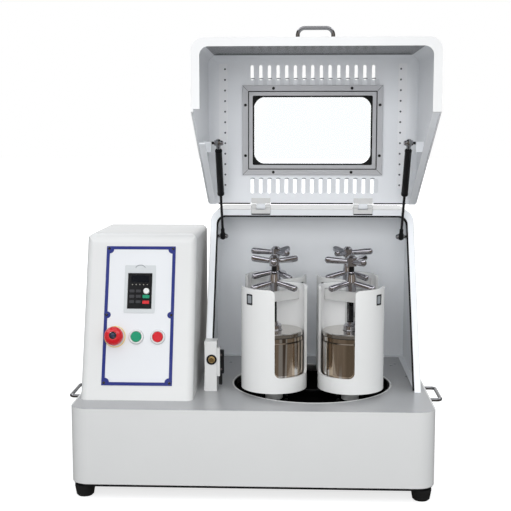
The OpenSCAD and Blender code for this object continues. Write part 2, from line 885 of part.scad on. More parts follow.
module lid_shell() {
    color("whitesmoke")
        swung_open() {
            difference() {
                union() {
                    difference() {
                        hood_form(0, 0);
                        hood_form(sheet_t, 8);
                    }
                    difference() {
                        intersection() {
                            hood_form(0, 0);
                            slant_slab(-seal_gap - sheet_t, seal_gap);
                        }
                        translate([hood_left + rim_w, hood_front_y, base_top])
                            cube([hood_w - 2 * rim_w, 2 * hood_len, hood_top_z - base_top]);
                    }
                    difference() {
                        intersection() {
                            hood_form(0, 0);
                            translate([hood_left, hood_front_y, rim_z])
                                cube([hood_w, hood_len, sheet_t]);
                        }
                        translate([chamber_x, hood_front_y + rim_w, rim_z - cut])
                            linear_extrude(sheet_t + 2 * cut)
                                translate([0, hood_len])
                                    rounded_square(hood_w - 2 * rim_w, 2 * hood_len, shell_r - rim_w / 2);
                    }
                    on_both_sides()
                        translate([-hood_over, hinge_y - strut_top_u - 3, hinge_z - strut_top_drop])
                            strut_bracket(hood_over + bracket_reach);
                }
                translate([chamber_x, hinge_y - window_u, hood_top_z - shell_r])
                    linear_extrude(shell_r + cut)
                        rounded_square(window_w, window_d, window_r);
                louvres(hinge_y - 48);
                louvres(hood_front_y + shell_r + louvre_len / 2);
                for (s = [-1, 1])
                    translate([chamber_x + s * hinge_spacing / 2 - hinge_w / 2 - 1, hood_rear_y - 4,
                               hood_top_z - sheet_t - cut])
                        cube([hinge_w + 2, 10, sheet_t + 2 * cut]);
                translate([lock_x - 3, lock_y - 4, base_top])
                    cube([lock_w + 7, 90, lock_h + 6]);
            }
            for (s = [-1, 1])
                translate([chamber_x + s * hinge_spacing / 2, 0, 0])
                    hood_hinge_leaf();
        }
}

frame_w = window_w + 2 * glass_margin + 2 * frame_bar;
frame_d = window_d + 2 * glass_margin + 2 * frame_bar;

module window_frame() {
    pane_edge = 5;
    color("silver")
        swung_open()
            translate([chamber_x, hinge_y - window_u, hood_top_z - sheet_t - pane_t - 3])
                difference() {
                    linear_extrude(pane_t + 3)
                        square([frame_w, frame_d], center = true);
                    translate([0, 0, -cut])
                        linear_extrude(pane_t + 3 + 2 * cut)
                            rounded_square(frame_w - 2 * frame_bar, frame_d - 2 * frame_bar, 6);
                    translate([0, 0, 3 - 0.2])
                        linear_extrude(pane_t + cut)
                            square([frame_w - 2 * frame_bar + 2 * pane_edge + 0.6,
                                    frame_d - 2 * frame_bar + 2 * pane_edge + 0.6], center = true);
                    for (s = [-1, 1]) {
                        for (x = [-90, 90])
                            translate([x, s * (frame_d - frame_bar + 4) / 2, -cut])
                                cylinder(r = 1.6, h = pane_t + 3 + 2 * cut);
                        for (y = [-57, 57])
                            translate([s * (frame_w - frame_bar + 4) / 2, y, -cut])
                                cylinder(r = 1.6, h = pane_t + 3 + 2 * cut);
                    }
                }
}

module window_pane() {
    pane_edge = 5;
    color("lightcyan", 0.35)
        swung_open()
            translate([chamber_x, hinge_y - window_u, hood_top_z - sheet_t - pane_t])
                linear_extrude(pane_t)
                    square([frame_w - 2 * frame_bar + 2 * pane_edge,
                            frame_d - 2 * frame_bar + 2 * pane_edge], center = true);
}

// A bow handle that stands on the XY plane, its legs side by side along X.
module bow_handle(w, h, r) {
    bend_r = 14;
    leg_x = w / 2 - r;
    for (s = [-1, 1]) {
        translate([s * leg_x, 0, 0]) {
            cylinder(r = r, h = h - r - bend_r);
            cylinder(r = r + 3, h = 3);
        }
        translate([s * (leg_x - bend_r), 0, h - r - bend_r])
            rotate([90, 0, 0])
                rotate([0, 0, s > 0 ? 0 : 90])
                    rotate_extrude(angle = 90)
                        translate([bend_r, 0])
                            circle(r);
    }
    translate([-leg_x + bend_r, 0, h - r])
        rod_x(r, 2 * (leg_x - bend_r));
}

module lid_handle() {
    color("silver")
        swung_open()
            translate([chamber_x, hood_front_y, base_top + hood_handle_z])
                rotate([90, 0, 0])
                    bow_handle(hood_handle_w, hood_handle_h, hood_handle_r);
}

module hinge_fixed_leaf() {
    knuckle_w = hinge_w / 4;
    difference() {
        union() {
            translate([-hinge_w / 2, chamber_top_y - 5, roof_z])
                cube([hinge_w, 34, leaf_t]);
            translate([-hinge_w / 2, chamber_top_y - 5, roof_z - 10])
                cube([hinge_w, leaf_t, 10 + leaf_t]);
            for (s = [-1, 1])
                translate([s * (hinge_w / 2 - knuckle_w / 2) - knuckle_w / 2, hinge_y, hinge_z])
                    rod_x(knuckle_r, knuckle_w);
        }
        translate([-hinge_w / 4 - run_gap, hinge_y - 11, roof_z - 1.5])
            cube([hinge_w / 2 + 2 * run_gap, 11 + knuckle_r + 1, 2 * knuckle_r + 3]);
        translate([-hinge_w / 2 - cut, hinge_y, hinge_z])
            rod_x(hinge_pin_r, hinge_w + 2 * cut);
    }
}

module lid_hinges() {
    color("whitesmoke")
        for (s = [-1, 1])
            translate([chamber_x + s * hinge_spacing / 2, 0, 0]) {
                hinge_fixed_leaf();
                translate([-hinge_w / 2 - 1.5, hinge_y, hinge_z])
                    rod_x(hinge_pin_r, hinge_w + 3);
            }
}

// Gas struts: the frame of a strut has its lower pivot at the origin and runs along +Z.

module strut_frame() {
    on_both_sides()
        translate([strut_in, strut_low[0], strut_low[1]])
            rotate([strut_tilt, 0, 0])
                children();
}

module strut_rods() {
    piston_len = 6;
    color("silver")
        strut_frame() {
            difference() {
                union() {
                    translate([-5, 0, 0])
                        rod_x(6.5, 10);
                    cylinder(r = 4.5, h = strut_eye_len);
                }
                translate([-6, 0, 0])
                    rod_x(3 + fit_gap, 12);
            }
            translate([0, 0, strut_eye_len - cut])
                cylinder(r = strut_rod_r, h = strut_open_rod + cut + 4);
            translate([0, 0, strut_eye_len + strut_open_rod + 3])
                cylinder(r = strut_r - 1.9, h = piston_len);
        }
}

module strut_cylinders() {
    tube_z = strut_eye_len + strut_open_rod;
    color("black")
        strut_frame()
            difference() {
                union() {
                    translate([0, 0, tube_z])
                        cylinder(r = strut_r, h = strut_tube_len);
                    translate([0, 0, tube_z + strut_tube_len])
                        cylinder(r = 4.5, h = strut_head_len);
                    translate([-5, 0, strut_len])
                        rod_x(6.5, 10);
                    translate([bracket_reach - strut_in + run_gap, 0, strut_len])
                        rod_x(3, strut_in - bracket_reach);
                }
                translate([0, 0, tube_z - cut])
                    cylinder(r = strut_rod_r + 0.3, h = 4);
                translate([0, 0, tube_z + 2])
                    cylinder(r = strut_r - 1.5, h = strut_tube_len - 5);
            }
}

// Interlock at the chamber's left foot.

module lock_housing() {
    color("whitesmoke")
        difference() {
            union() {
                translate([lock_x, lock_y, base_top])
                    cube([lock_w, lock_d, lock_h]);
                translate([lock_x - 0.3, lock_y - 0.8, base_top + lock_h - 7])
                    cube([lock_w + 0.8, lock_d + 0.8, 7]);
                translate([lock_x + lock_w - 0.5, lock_y + 6, base_top + 32])
                    cube([7, 17, 62]);
            }
            translate([lock_x + lock_w / 2 + 2, lock_y - 2, base_top + plunger_z])
                rotate([-90, 0, 0])
                    cylinder(r = plunger_r + 0.3, h = 20);
        }
}

module lock_plunger() {
    color("goldenrod")
        translate([lock_x + lock_w / 2 + 2, lock_y, base_top + plunger_z])
            rotate([90, 0, 0]) {
                translate([0, 0, -10])
                    cylinder(r = plunger_r, h = 12);
                translate([0, 0, 2])
                    cylinder(r1 = plunger_r, r2 = plunger_r - 3, h = 3);
            }
}

// Control box. Its face has its own frame: X across, Z up the face, Y into the box.

module on_face(x, s) {
    translate([box_x, box_front_y, base_top])
        rotate([-box_lean, 0, 0])
            translate([x, 0, s])
                children();
}

// Turned pieces on the face: their axis points out of the face.
module out_of_face(x, s) {
    on_face(x, s)
        rotate([90, 0, 0])
            children();
}

module control_form(inset, reach) {
    brow = box_brow_r - inset;
    edge = box_edge_r - inset;
    foot_y = box_front_y + inset / cos(box_lean);
    top_z = box_top - inset;
    rear_y = box_rear_y - inset;
    brow_z = top_z - brow;
    brow_y = foot_y + (brow_z - base_top) * tan(box_lean) + brow / cos(box_lean);
    intersection() {
        translate([box_x - box_w / 2 + inset, 0, 0])
            side_view(box_w - 2 * inset) {
                polygon([[foot_y - reach * tan(box_lean), base_top - reach],
                         [brow_y - brow * cos(box_lean), brow_z + brow * sin(box_lean)],
                         [brow_y, top_z], [rear_y - edge, top_z],
                         [rear_y, top_z - edge], [rear_y, base_top - reach]]);
                translate([brow_y, brow_z])
                    circle(brow);
                translate([rear_y - edge, top_z - edge])
                    circle(edge);
            }
        translate([box_x, 0, base_top - reach - cut])
            front_view(box_front_y - cut, box_rear_y + cut)
                arch(box_w - 2 * inset, box_h + reach + cut - inset, edge);
        on_face(0, -60)
            linear_extrude(box_h + 320)
                translate([0, 260 + inset])
                    rounded_square(box_w - 2 * inset, 520, edge);
    }
}

// A raised line with a quarter round in each corner and a half round at mid height.
module panel_outline(w, h, notch_r) {
    difference() {
        square([w, h], center = true);
        for (sx = [-1, 1]) {
            for (sy = [-1, 1])
                translate([sx * w / 2, sy * h / 2])
                    circle(notch_r);
            translate([sx * w / 2, 0])
                circle(notch_r * 0.8);
        }
    }
}

vent_n = 8;
vent_pitch = 20;
vent_w = 6;
vent_h = 90;
vent_low = 190;
cable_x = 50;
cable_low = 40;
cable_w = 27;
cable_h = 20;

module control_box() {
    color("whitesmoke")
        difference() {
            union() {
                difference() {
                    control_form(0, 0);
                    control_form(box_t, 4);
                }
                out_of_face(0, panel_foot + panel_h / 2)
                    translate([0, 0, -0.5])
                        linear_extrude(panel_proud + 0.5)
                            difference() {
                                square([panel_w, panel_h], center = true);
                                panel_outline(panel_w - 2 * panel_line, panel_h - 2 * panel_line, 9);
                            }
                for (k = [-1, 0, 1])
                    out_of_face(k * button_pitch + row_x, button_row)
                        translate([0, 0, -0.5])
                            cylinder(r = k < 0 ? 21.5 : 14, h = 3.5);
            }
            for (k = [-1, 0, 1])
                out_of_face(k * button_pitch + row_x, button_row)
                    translate([0, 0, -box_t - 2])
                        cylinder(r = button_r + run_gap, h = box_t + 12);
            on_face(0, keypad_mid)
                translate([-keypad_w / 2 - 0.4, -2, -keypad_h / 2 - 0.4])
                    cube([keypad_w + 0.8, box_t + 6, keypad_h + 0.8]);
            for (i = [0:vent_n - 1])
                translate([box_x + (i - (vent_n - 1) / 2) * vent_pitch, box_rear_y - box_t - 4,
                           base_top + vent_low])
                    cube([vent_w, 12, vent_h]);
            translate([box_x + cable_x, box_rear_y - box_t - 4, base_top + cable_low])
                cube([cable_w, 12, cable_h]);
        }
}

converter_w = 92;
converter_d = 70;
converter_h = 150;

module keypad() {
    color("darkslategray")
        difference() {
            union() {
                on_face(0, keypad_mid)
                    translate([-keypad_w / 2, -2.4, -keypad_h / 2])
                        cube([keypad_w, box_t + 10, keypad_h]);
                on_face(0, keypad_mid + 12)
                    translate([-converter_w / 2, box_t, -converter_h / 2])
                        cube([converter_w, converter_d, converter_h]);
                on_face(-15, keypad_mid - 4)
                    for (row = [-1, 0, 1])
                        for (col = [0, 1])
                            translate([col * 13, -3.4, row * 11 - 10])
                                cube([9, 2, 6]);
            }
            out_of_face(15, keypad_mid - 1)
                translate([0, 0, -2])
                    cylinder(r = 2 + fit_gap, h = 8);
        }
}

module speed_knob() {
    color("white")
        out_of_face(15, keypad_mid - 1) {
            translate([0, 0, -1.5])
                cylinder(r = 2, h = 6);
            translate([0, 0, 2.4 + run_gap])
                difference() {
                    button_head(knob_r, 7, 1);
                    translate([-0.6, 0, 6])
                        cube([1.2, knob_r + 1, 2]);
                }
        }
}

module button_stem(r, proud) {
    translate([0, 0, -box_t - 8])
        cylinder(r = r, h = box_t + 8 + proud);
}

module emergency_stop() {
    color("red")
        out_of_face(-button_pitch + row_x, button_row) {
            button_stem(button_r, 12);
            translate([0, 0, 11])
                rotate_extrude()
                    polygon(concat([[0, 0], [stop_head_r - 4, 0], [stop_head_r, 4]],
                                   [for (a = [0:10:90])
                                        [stop_head_r * cos(a), 6 + 9 * sin(a)]]));
        }
}

module push_button(x) {
    out_of_face(x + row_x, button_row) {
        button_stem(button_r, 3.5);
        translate([0, 0, 3.4])
            button_head(button_r, 3, 1);
    }
}

module start_button() {
    color("green")
        push_button(0);
}

module stop_button() {
    color("red")
        push_button(button_pitch);
}

// Pot stations.

// The tall slot, from its foot at y = 0 up past the rim, where its corners flare out.
module holder_slot() {
    depth = holder_h - slot_foot;
    mirror([0, 1])
        translate([0, -depth - cut])
            arch(slot_w, depth + cut, slot_r);
    difference() {
        translate([-slot_w / 2 - rim_r, depth - rim_r])
            square([slot_w + 2 * rim_r, rim_r + cut]);
        for (s = [-1, 1])
            translate([s * (slot_w / 2 + rim_r), depth - rim_r])
                circle(rim_r);
    }
}

module pot_holder(i) {
    color("whitesmoke")
        at_station(i)
            rotate(holder_turn[i])
                difference() {
                    union() {
                        translate([0, 0, holder_z])
                            cylinder(r = holder_r, h = holder_h);
                        translate([0, 0, turn_top + run_gap])
                            cylinder(r = hub_r, h = holder_z - turn_top);
                    }
                    translate([0, 0, jar_z])
                        cylinder(r = holder_r - holder_t, h = holder_h);
                    translate([0, 0, turn_top - cut])
                        cylinder(r = planet_shaft_r, h = holder_z - turn_top + 6);
                    translate([0, 0, holder_z + slot_foot])
                        rotate([0, 0, 90])
                            front_view(-holder_r - cut, holder_r + cut)
                                holder_slot();
                    translate([0, 0, bar_z + bar_h / 2])
                        front_view(-holder_r - cut, holder_r + cut)
                            rounded_square(bar_w + 2 * bar_gap, bar_h + 2 * bar_gap, 3);
                }
}

module planet_gear(i) {
    color("silver")
        at_station(i) {
            rotate(station_at[i] + 180)
                translate([0, 0, gear_z])
                    linear_extrude(gear_h)
                        gear_outline(planet_teeth);
            translate([0, 0, gear_z + gear_h - 1])
                cylinder(r = 17, h = turn_bottom - 8 - gear_z - gear_h + 1 - run_gap);
            translate([0, 0, gear_z])
                cylinder(r = planet_shaft_r, h = holder_z + 5 - gear_z);
        }
}

module milling_jar(i) {
    color("silver")
        at_station(i)
            translate([0, 0, jar_z])
                difference() {
                    rotate_extrude()
                        polygon([[0, 0], [jar_r - 3, 0], [jar_r, 3], [jar_r, jar_h - 12],
                                 [jar_r - 1, jar_h - 10], [jar_r - 1, jar_h], [0, jar_h]]);
                    translate([0, 0, jar_t + 2])
                        cylinder(r = jar_r - jar_t, h = jar_h);
                }
}

module jar_lid(i) {
    color("silver")
        at_station(i)
            translate([0, 0, jar_z + jar_h])
                rotate_extrude()
                    polygon([[0, -5], [jar_r - jar_t - 0.5, -5], [jar_r - jar_t - 0.5, 0],
                             [jar_r, 0], [jar_r, jar_lid_t - 1.5], [jar_r - 1.5, jar_lid_t],
                             [0, jar_lid_t]]);
}

module clamp_bar(i) {
    bar_len = 2 * (holder_r - bar_in);
    color("silver")
        at_station(i)
            rotate(holder_turn[i])
                difference() {
                    translate([-bar_w / 2, -bar_len / 2, bar_z])
                        cube([bar_w, bar_len, bar_h]);
                    translate([0, 0, bar_z - cut])
                        cylinder(r = screw_r + fit_gap, h = bar_h + 2 * cut);
                }
}

module pressure_pad(i) {
    color("silver")
        at_station(i)
            translate([0, 0, jar_top])
                difference() {
                    rotate_extrude()
                        polygon([[0, 0], [pad_r, 0], [pad_r, pad_h - 7], [pad_r - 2, pad_h - 5],
                                 [screw_r + 3.5, pad_h - 5], [screw_r + 3.5, pad_h], [0, pad_h]]);
                    translate([0, 0, pad_h * 0.4])
                        cylinder(r = screw_r + fit_gap, h = pad_h);
                }
}

// A star handle with three arms that end in half balls, the first along +X.
module star(hub, hub_low, hub_high, root_r, tip_r, rise) {
    translate([0, 0, -hub_low])
        cylinder(r = hub, h = hub_low + hub_high - 3);
    translate([0, 0, hub_high - 3])
        cylinder(r1 = hub, r2 = hub - 3, h = 3);
    for (a = [0:120:240])
        rotate([0, 90 - rise, a])
            rotate_extrude()
                polygon(concat([[0, 6], [root_r, 6]],
                               [for (b = [0:18:90])
                                    [tip_r * cos(b), star_len - tip_r + tip_r * sin(b)]]));
}

module clamp_screw(i) {
    star_z = rim_top + star_high;
    color("gainsboro")
        at_station(i) {
            translate([0, 0, jar_top + pad_h * 0.4 + 0.3])
                cylinder(r = screw_r, h = star_z - jar_top - pad_h * 0.4 + 2);
            translate([0, 0, star_z])
                rotate(star_turn[i])
                    star(11, 9, 12, star_root_r, star_tip_r, star_rise);
        }
}

module lock_star(i) {
    color("gainsboro")
        at_station(i)
            translate([0, 0, bar_z + bar_h + star_low])
                difference() {
                    rotate(lock_turn[i])
                        star(10, star_low - run_gap, 9, lock_arm_r - 0.8, lock_arm_r, 0);
                    translate([0, 0, -star_low - cut])
                        cylinder(r = screw_r + fit_gap, h = star_low + 12);
                }
}

module station_piece(kind, i) {
    if (kind == "pot_holder") pot_holder(i);
    if (kind == "planet_gear") planet_gear(i);
    if (kind == "milling_jar") milling_jar(i);
    if (kind == "jar_lid") jar_lid(i);
    if (kind == "clamp_bar") clamp_bar(i);
    if (kind == "pressure_pad") pressure_pad(i);
    if (kind == "clamp_screw") clamp_screw(i);
    if (kind == "lock_star") lock_star(i);
}

base_housing();
base_pan();
rubber_feet();
side_handles();
drive_frame();
drive_motor();
motor_pulley();
drive_belt();
main_bearing();
driven_pulley();
sun_gear();
turntable();
chamber_shell();
lid_shell();
window_frame();
window_pane();
lid_handle();
lid_hinges();
strut_rods();
strut_cylinders();
lock_housing();
lock_plunger();
control_box();
keypad();
speed_knob();
emergency_stop();
start_button();
stop_button();
for (i = [0:3])
    for (kind = STATION_PIECES)
        station_piece(kind, i);
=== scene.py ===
import bpy
import bmesh
from math import sin, cos, pi, radians
from mathutils import Vector, Matrix


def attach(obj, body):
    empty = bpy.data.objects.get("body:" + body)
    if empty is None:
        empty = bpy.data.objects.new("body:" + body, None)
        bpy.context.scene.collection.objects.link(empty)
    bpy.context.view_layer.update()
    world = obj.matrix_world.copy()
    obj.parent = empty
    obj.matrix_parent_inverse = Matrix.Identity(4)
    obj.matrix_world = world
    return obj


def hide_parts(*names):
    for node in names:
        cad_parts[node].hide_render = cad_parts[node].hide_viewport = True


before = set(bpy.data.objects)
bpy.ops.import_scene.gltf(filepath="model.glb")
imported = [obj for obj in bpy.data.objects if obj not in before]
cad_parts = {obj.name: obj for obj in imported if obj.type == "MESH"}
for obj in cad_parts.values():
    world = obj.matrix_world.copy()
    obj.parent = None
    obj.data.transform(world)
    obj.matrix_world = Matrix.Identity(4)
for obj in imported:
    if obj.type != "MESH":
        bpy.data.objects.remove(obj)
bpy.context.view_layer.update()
scene = bpy.context.scene
scene.view_settings.view_transform = "Standard"
MM = 0.001

# Camera, at the place and angle that the photograph was taken from.
cam_data = bpy.data.cameras.new("camera")
cam = bpy.data.objects.new("camera", cam_data)
scene.collection.objects.link(cam)
cam.location = (0.08875, -2.19344, 0.7416)
cam.rotation_euler = (radians(83.08), 0, radians(2.38))
cam_data.sensor_width = 36
cam_data.lens = 69.2
cam_data.clip_end = 60
scene.camera = cam


# Places that several sections share, in millimetres and degrees.
BASE_TOP = 190
MID_X = 125
DECK_Y = -20
STATION_R = 117
# Each pot station's angle round the turntable, and the turn of its holder.
STATIONS = {"front_left": (225, -47), "front_right": (315, -127),
            "rear_right": (45, 128), "rear_left": (135, 56)}
AXES = {place: (MID_X + STATION_R * cos(radians(around)), DECK_Y + STATION_R * sin(radians(around)))
        for place, (around, _) in STATIONS.items()}


# Materials. Their noise is in metres, and the places that a second colour covers, a real paint or a
# painted light or shade, are in millimetres.

def add_node(tree, kind, inputs=(), out=0, **settings):
    """Adds a node with its settings, sets or links its inputs, and gives one output or all of them."""
    made = tree.nodes.new(kind)
    for name, value in settings.items():
        setattr(made, name, value)
    for name, value in dict(inputs).items():
        if isinstance(value, bpy.types.NodeSocket):
            tree.links.new(value, made.inputs[name])
        else:
            made.inputs[name].default_value = value
    return made.outputs if out is None else made.outputs[out]


def new_material(name):
    mat = bpy.data.materials.new(name)
    mat.use_nodes = True
    return mat, mat.node_tree, mat.node_tree.nodes["Principled BSDF"]


def maths(tree, kind, first, second=0.5):
    return add_node(tree, "ShaderNodeMath", {0: first, 1: second}, operation=kind)


def noise(tree, scale, detail=3.0, stretch=(1, 1, 1)):
    """A noise in object space."""
    place = add_node(tree, "ShaderNodeTexCoord", out="Object")
    place = add_node(tree, "ShaderNodeMapping", {"Vector": place, "Scale": stretch})
    inputs = {"Vector": place, "Scale": scale, "Detail": detail}
    return add_node(tree, "ShaderNodeTexNoise", inputs, "Fac")


def span(tree, value, lo, hi, a=0.3, b=0.7):
    """Maps a value from a..b to lo..hi."""
    return add_node(tree, "ShaderNodeMapRange", {"Value": value, "From Min": a, "From Max": b,
                                                 "To Min": lo, "To Max": hi}, "Result")


def ramp(tree, value, stops):
    """Colours a value by positions and their colours."""
    made = tree.nodes.new("ShaderNodeValToRGB")
    elements = made.color_ramp.elements
    while len(elements) < len(stops):
        elements.new(0.5)
    for element, (where, colour) in zip(elements, stops):
        element.position = where
        element.color = (*colour, 1)
    tree.links.new(value, made.inputs["Fac"])
    return made.outputs["Color"]


def toned(tree, base, tone, scale, detail):
    """A colour that wanders by tone either way."""
    lo = tuple(max(0.0, c - tone) for c in base)
    hi = tuple(min(1.0, c + tone) for c in base)
    return ramp(tree, noise(tree, scale, detail), ((0.35, lo), (0.65, hi)))


def mix_colours(tree, factor, first, second):
    return add_node(tree, "ShaderNodeMix", {0: factor, 6: first, 7: second}, 2, data_type="RGBA")


def mix_shaders(tree, factor, first, second):
    return add_node(tree, "ShaderNodeMixShader", {0: factor, 1: first, 2: second})


TONE_SCALE = 14
COAT_ROUGH = 0.12


def finish_of(name, base, metallic, rough, spread=0.03, tone=0.03, grain=1200, depth=0.00002,
              strength=0.3, stretch=(1, 1, 1), coat=0.0, ior=1.5, spec=0.5):
    """A coat, plastic or metal with slight changes of tone and gloss and a fine grain."""
    mat, tree, bsdf = new_material(name)
    tree.links.new(toned(tree, base, tone, TONE_SCALE, 4), bsdf.inputs["Base Color"])
    bsdf.inputs["Roughness"].default_value = rough
    if spread:
        blotch = noise(tree, TONE_SCALE * 3.1)
        tree.links.new(span(tree, blotch, max(0.02, rough - spread), rough + spread),
                       bsdf.inputs["Roughness"])
    if strength:
        bumps = {"Height": noise(tree, grain, 3, stretch), "Strength": strength, "Distance": depth}
        tree.links.new(add_node(tree, "ShaderNodeBump", bumps, "Normal"), bsdf.inputs["Normal"])
    bsdf.inputs["Metallic"].default_value = metallic
    bsdf.inputs["IOR"].default_value = ior
    bsdf.inputs["Specular IOR Level"].default_value = spec
    bsdf.inputs["Coat Weight"].default_value = coat
    if coat:
        bsdf.inputs["Coat Roughness"].default_value = COAT_ROUGH
    return mat


def enamel_of(name, base, rough=0.27):
    """A stoved coat without a visible grain."""
    return finish_of(name, base, 0.0, rough, 0.0, 0.004, strength=0)


def metal_of(name, base, rough, metallic=1.0):
    """A polished or plated metal without a visible grain."""
    return finish_of(name, base, metallic, rough, 0.0, 0.02, strength=0)


def masked(mat, colour, boxes=(), posts=(), tone=0.006, facing=None):
    """Gives a second colour, a real paint or a painted light or shade, to what lies inside any of the
    boxes, in millimetres.
    A box is (lowest corner, highest corner), and a post is an upright cylinder (x, y, radius).
    With facing, a point in metres, only the faces that look towards it count."""
    tree = mat.node_tree
    base = tree.nodes["Principled BSDF"].inputs["Base Color"]
    outer = base.links[0].from_socket
    coord = add_node(tree, "ShaderNodeTexCoord", out=None)
    axes = list(add_node(tree, "ShaderNodeSeparateXYZ", {0: coord["Object"]}, None))
    insides = []
    for low, high in boxes:
        spans = [maths(tree, "MULTIPLY", maths(tree, "GREATER_THAN", axis, lo * MM),
                       maths(tree, "LESS_THAN", axis, hi * MM))
                 for axis, lo, hi in zip(axes, low, high)]
        insides.append(maths(tree, "MULTIPLY", maths(tree, "MULTIPLY", spans[0], spans[1]), spans[2]))
    for x, y, r in posts:
        offsets = [maths(tree, "SUBTRACT", axis, at * MM) for axis, at in zip(axes, (x, y))]
        squares = [maths(tree, "MULTIPLY", offset, offset) for offset in offsets]
        insides.append(maths(tree, "LESS_THAN", maths(tree, "ADD", *squares), (r * MM) ** 2))
    total = insides[0]
    for inside in insides[1:]:
        total = maths(tree, "MAXIMUM", total, inside)
    if facing:
        ray = add_node(tree, "ShaderNodeVectorMath", {0: facing, 1: coord["Object"]}, "Vector",
                       operation="SUBTRACT")
        dot = add_node(tree, "ShaderNodeVectorMath", {0: coord["Normal"], 1: ray}, "Value",
                       operation="DOT_PRODUCT")
        total = maths(tree, "MULTIPLY", total, maths(tree, "GREATER_THAN", dot, 0.0))
    tree.links.new(mix_colours(tree, total, outer, toned(tree, colour, tone, 12, 3)), base)
    return mat


# A point before the chamber, in metres, that the inner walls look towards and the outer ones don't.
IN_FRONT = (0.125, -0.9, 0.5)
# The hood's inner walls get a lighter paint as painted light, and the underside of its ceiling gets a
# dark painted shade.
HOOD_INSIDE = ((-114.5, -279.5, 570), (364.5, 103, 928.6))
HOOD_CEILING_SHADE = ((-114, -240, 925.5), (364, 99, 928.6))
CHAMBER_INSIDE = ((-109.5, -120, 189), (359.5, 254.5, 570.5))
HOLDER_BORE = 65.3
# The jars' shoulder under the lid, darkened as painted shade.
JAR_SHOULDER_SHADE = ((-200, -300, 305.6), (400, 300, 308.6))
SCREW_SHANKS = ((-200, -300, 300), (400, 300, 465))
# The deck's top, which gets a grey paint as painted shade.
DECK = ((-372, -276, 189.7), (372, 258, 190.3))
# The lines of a cover on the rear of the base: lower, upper, left and right.
REAR_LINES = (((-280, 259.7, 57), (280, 261, 58.2)), ((-280, 259.7, 165.8), (280, 261, 167)),
              ((-280, 259.7, 57), (-278.8, 261, 167)), ((278.8, 259.7, 57), (280, 261, 167)))

enamel = enamel_of("white_enamel", (0.72, 0.72, 0.712))
# A lighter copy of the enamel for the hood's inner flanges: painted light.
flange_enamel_painted_light = enamel_of("flange_enamel_painted_light", (0.93, 0.94, 0.96))
# A copy of the enamel for the louvres' folds: lighter than the outer coat as painted light, and darker
# than the inner walls round it as painted shade.
fold_enamel_painted_light_and_shade = enamel_of("fold_enamel_painted_light_and_shade", (0.78, 0.80, 0.83))
# Pot holders: the inside of each bore gets a lighter paint, painted light.
holder_enamel_painted_light = masked(enamel_of("holder_enamel_painted_light", (0.76, 0.76, 0.75), 0.24), (0.93, 0.93, 0.925),
                       posts=[(x, y, HOLDER_BORE) for x, y in AXES.values()])
# Hood: painted light on its inner walls, and painted shade under its ceiling.
hood_enamel_painted_light_and_shade = masked(enamel_of("hood_enamel_painted_light_and_shade", (0.74, 0.74, 0.74)), (0.88, 0.90, 0.93),
                     [HOOD_INSIDE], facing=IN_FRONT)
masked(hood_enamel_painted_light_and_shade, (0.12, 0.122, 0.127), [HOOD_CEILING_SHADE], tone=0.0005, facing=IN_FRONT)
# Chamber: its inner walls get a lighter paint, painted light.
chamber_enamel_painted_light = masked(enamel_of("chamber_enamel_painted_light", (0.70, 0.70, 0.695), 0.25), (0.90, 0.92, 0.945),
                        [CHAMBER_INSIDE], facing=IN_FRONT)
# Base: a grey deck top as painted shade, and the dark seam lines of the rear cover.
base_enamel_seams_and_painted_shade = masked(enamel_of("base_enamel_seams_and_painted_shade", (0.72, 0.72, 0.712)), (0.40, 0.404, 0.41), [DECK])
masked(base_enamel_seams_and_painted_shade, (0.10, 0.10, 0.105), REAR_LINES)

chrome = metal_of("bright_chrome", (0.54, 0.53, 0.56), 0.08)
dark_chrome = metal_of("dark_chrome", (0.42, 0.42, 0.43), 0.14)
handle_chrome = metal_of("handle_chrome", (0.30, 0.30, 0.31), 0.12)
lid_steel = metal_of("jar_lid_steel", (0.60, 0.58, 0.55), 0.2)
# A satin nickel whose light tone is partly its own and partly a painted reflection of the holders' white
# walls.
nickel_with_painted_reflection = metal_of("satin_nickel_painted_reflection", (0.72, 0.72, 0.71), 0.32, 0.35)
screw_steel = masked(metal_of("screw_steel", (0.60, 0.59, 0.62), 0.08), (0.02, 0.02, 0.021),
                     [SCREW_SHANKS], tone=0.004)
frame_alu = finish_of("frame_aluminium", (0.62, 0.63, 0.66), 0.5, 0.36, 0.0, 0.015, strength=0)
gear_steel = finish_of("gear_steel", (0.42, 0.42, 0.43), 1.0, 0.34, 0.06, 0.03, 600, 0.00004, 0.5)
brass = finish_of("brass_metal", (0.66, 0.46, 0.2), 1.0, 0.22, 0.05, 0.03, 400, 0.00003, 0.3)
# A black oxide, also used for the frames in the holders' windows, which are painted shade.
black_metal_and_painted_shade = finish_of("black_oxide_and_painted_shade", (0.02, 0.02, 0.021), 0.6, 0.32, 0.06, 0.006, 700, 0.00004, 0.4)
# Dark dots where the hood's flanges have small holes: painted shade.
dark_hole_shade = finish_of("dark_hole_shade", (0.10, 0.105, 0.12), 0.3, 0.5, 0.05, 0.03, 900, 0.00005, 0.5)

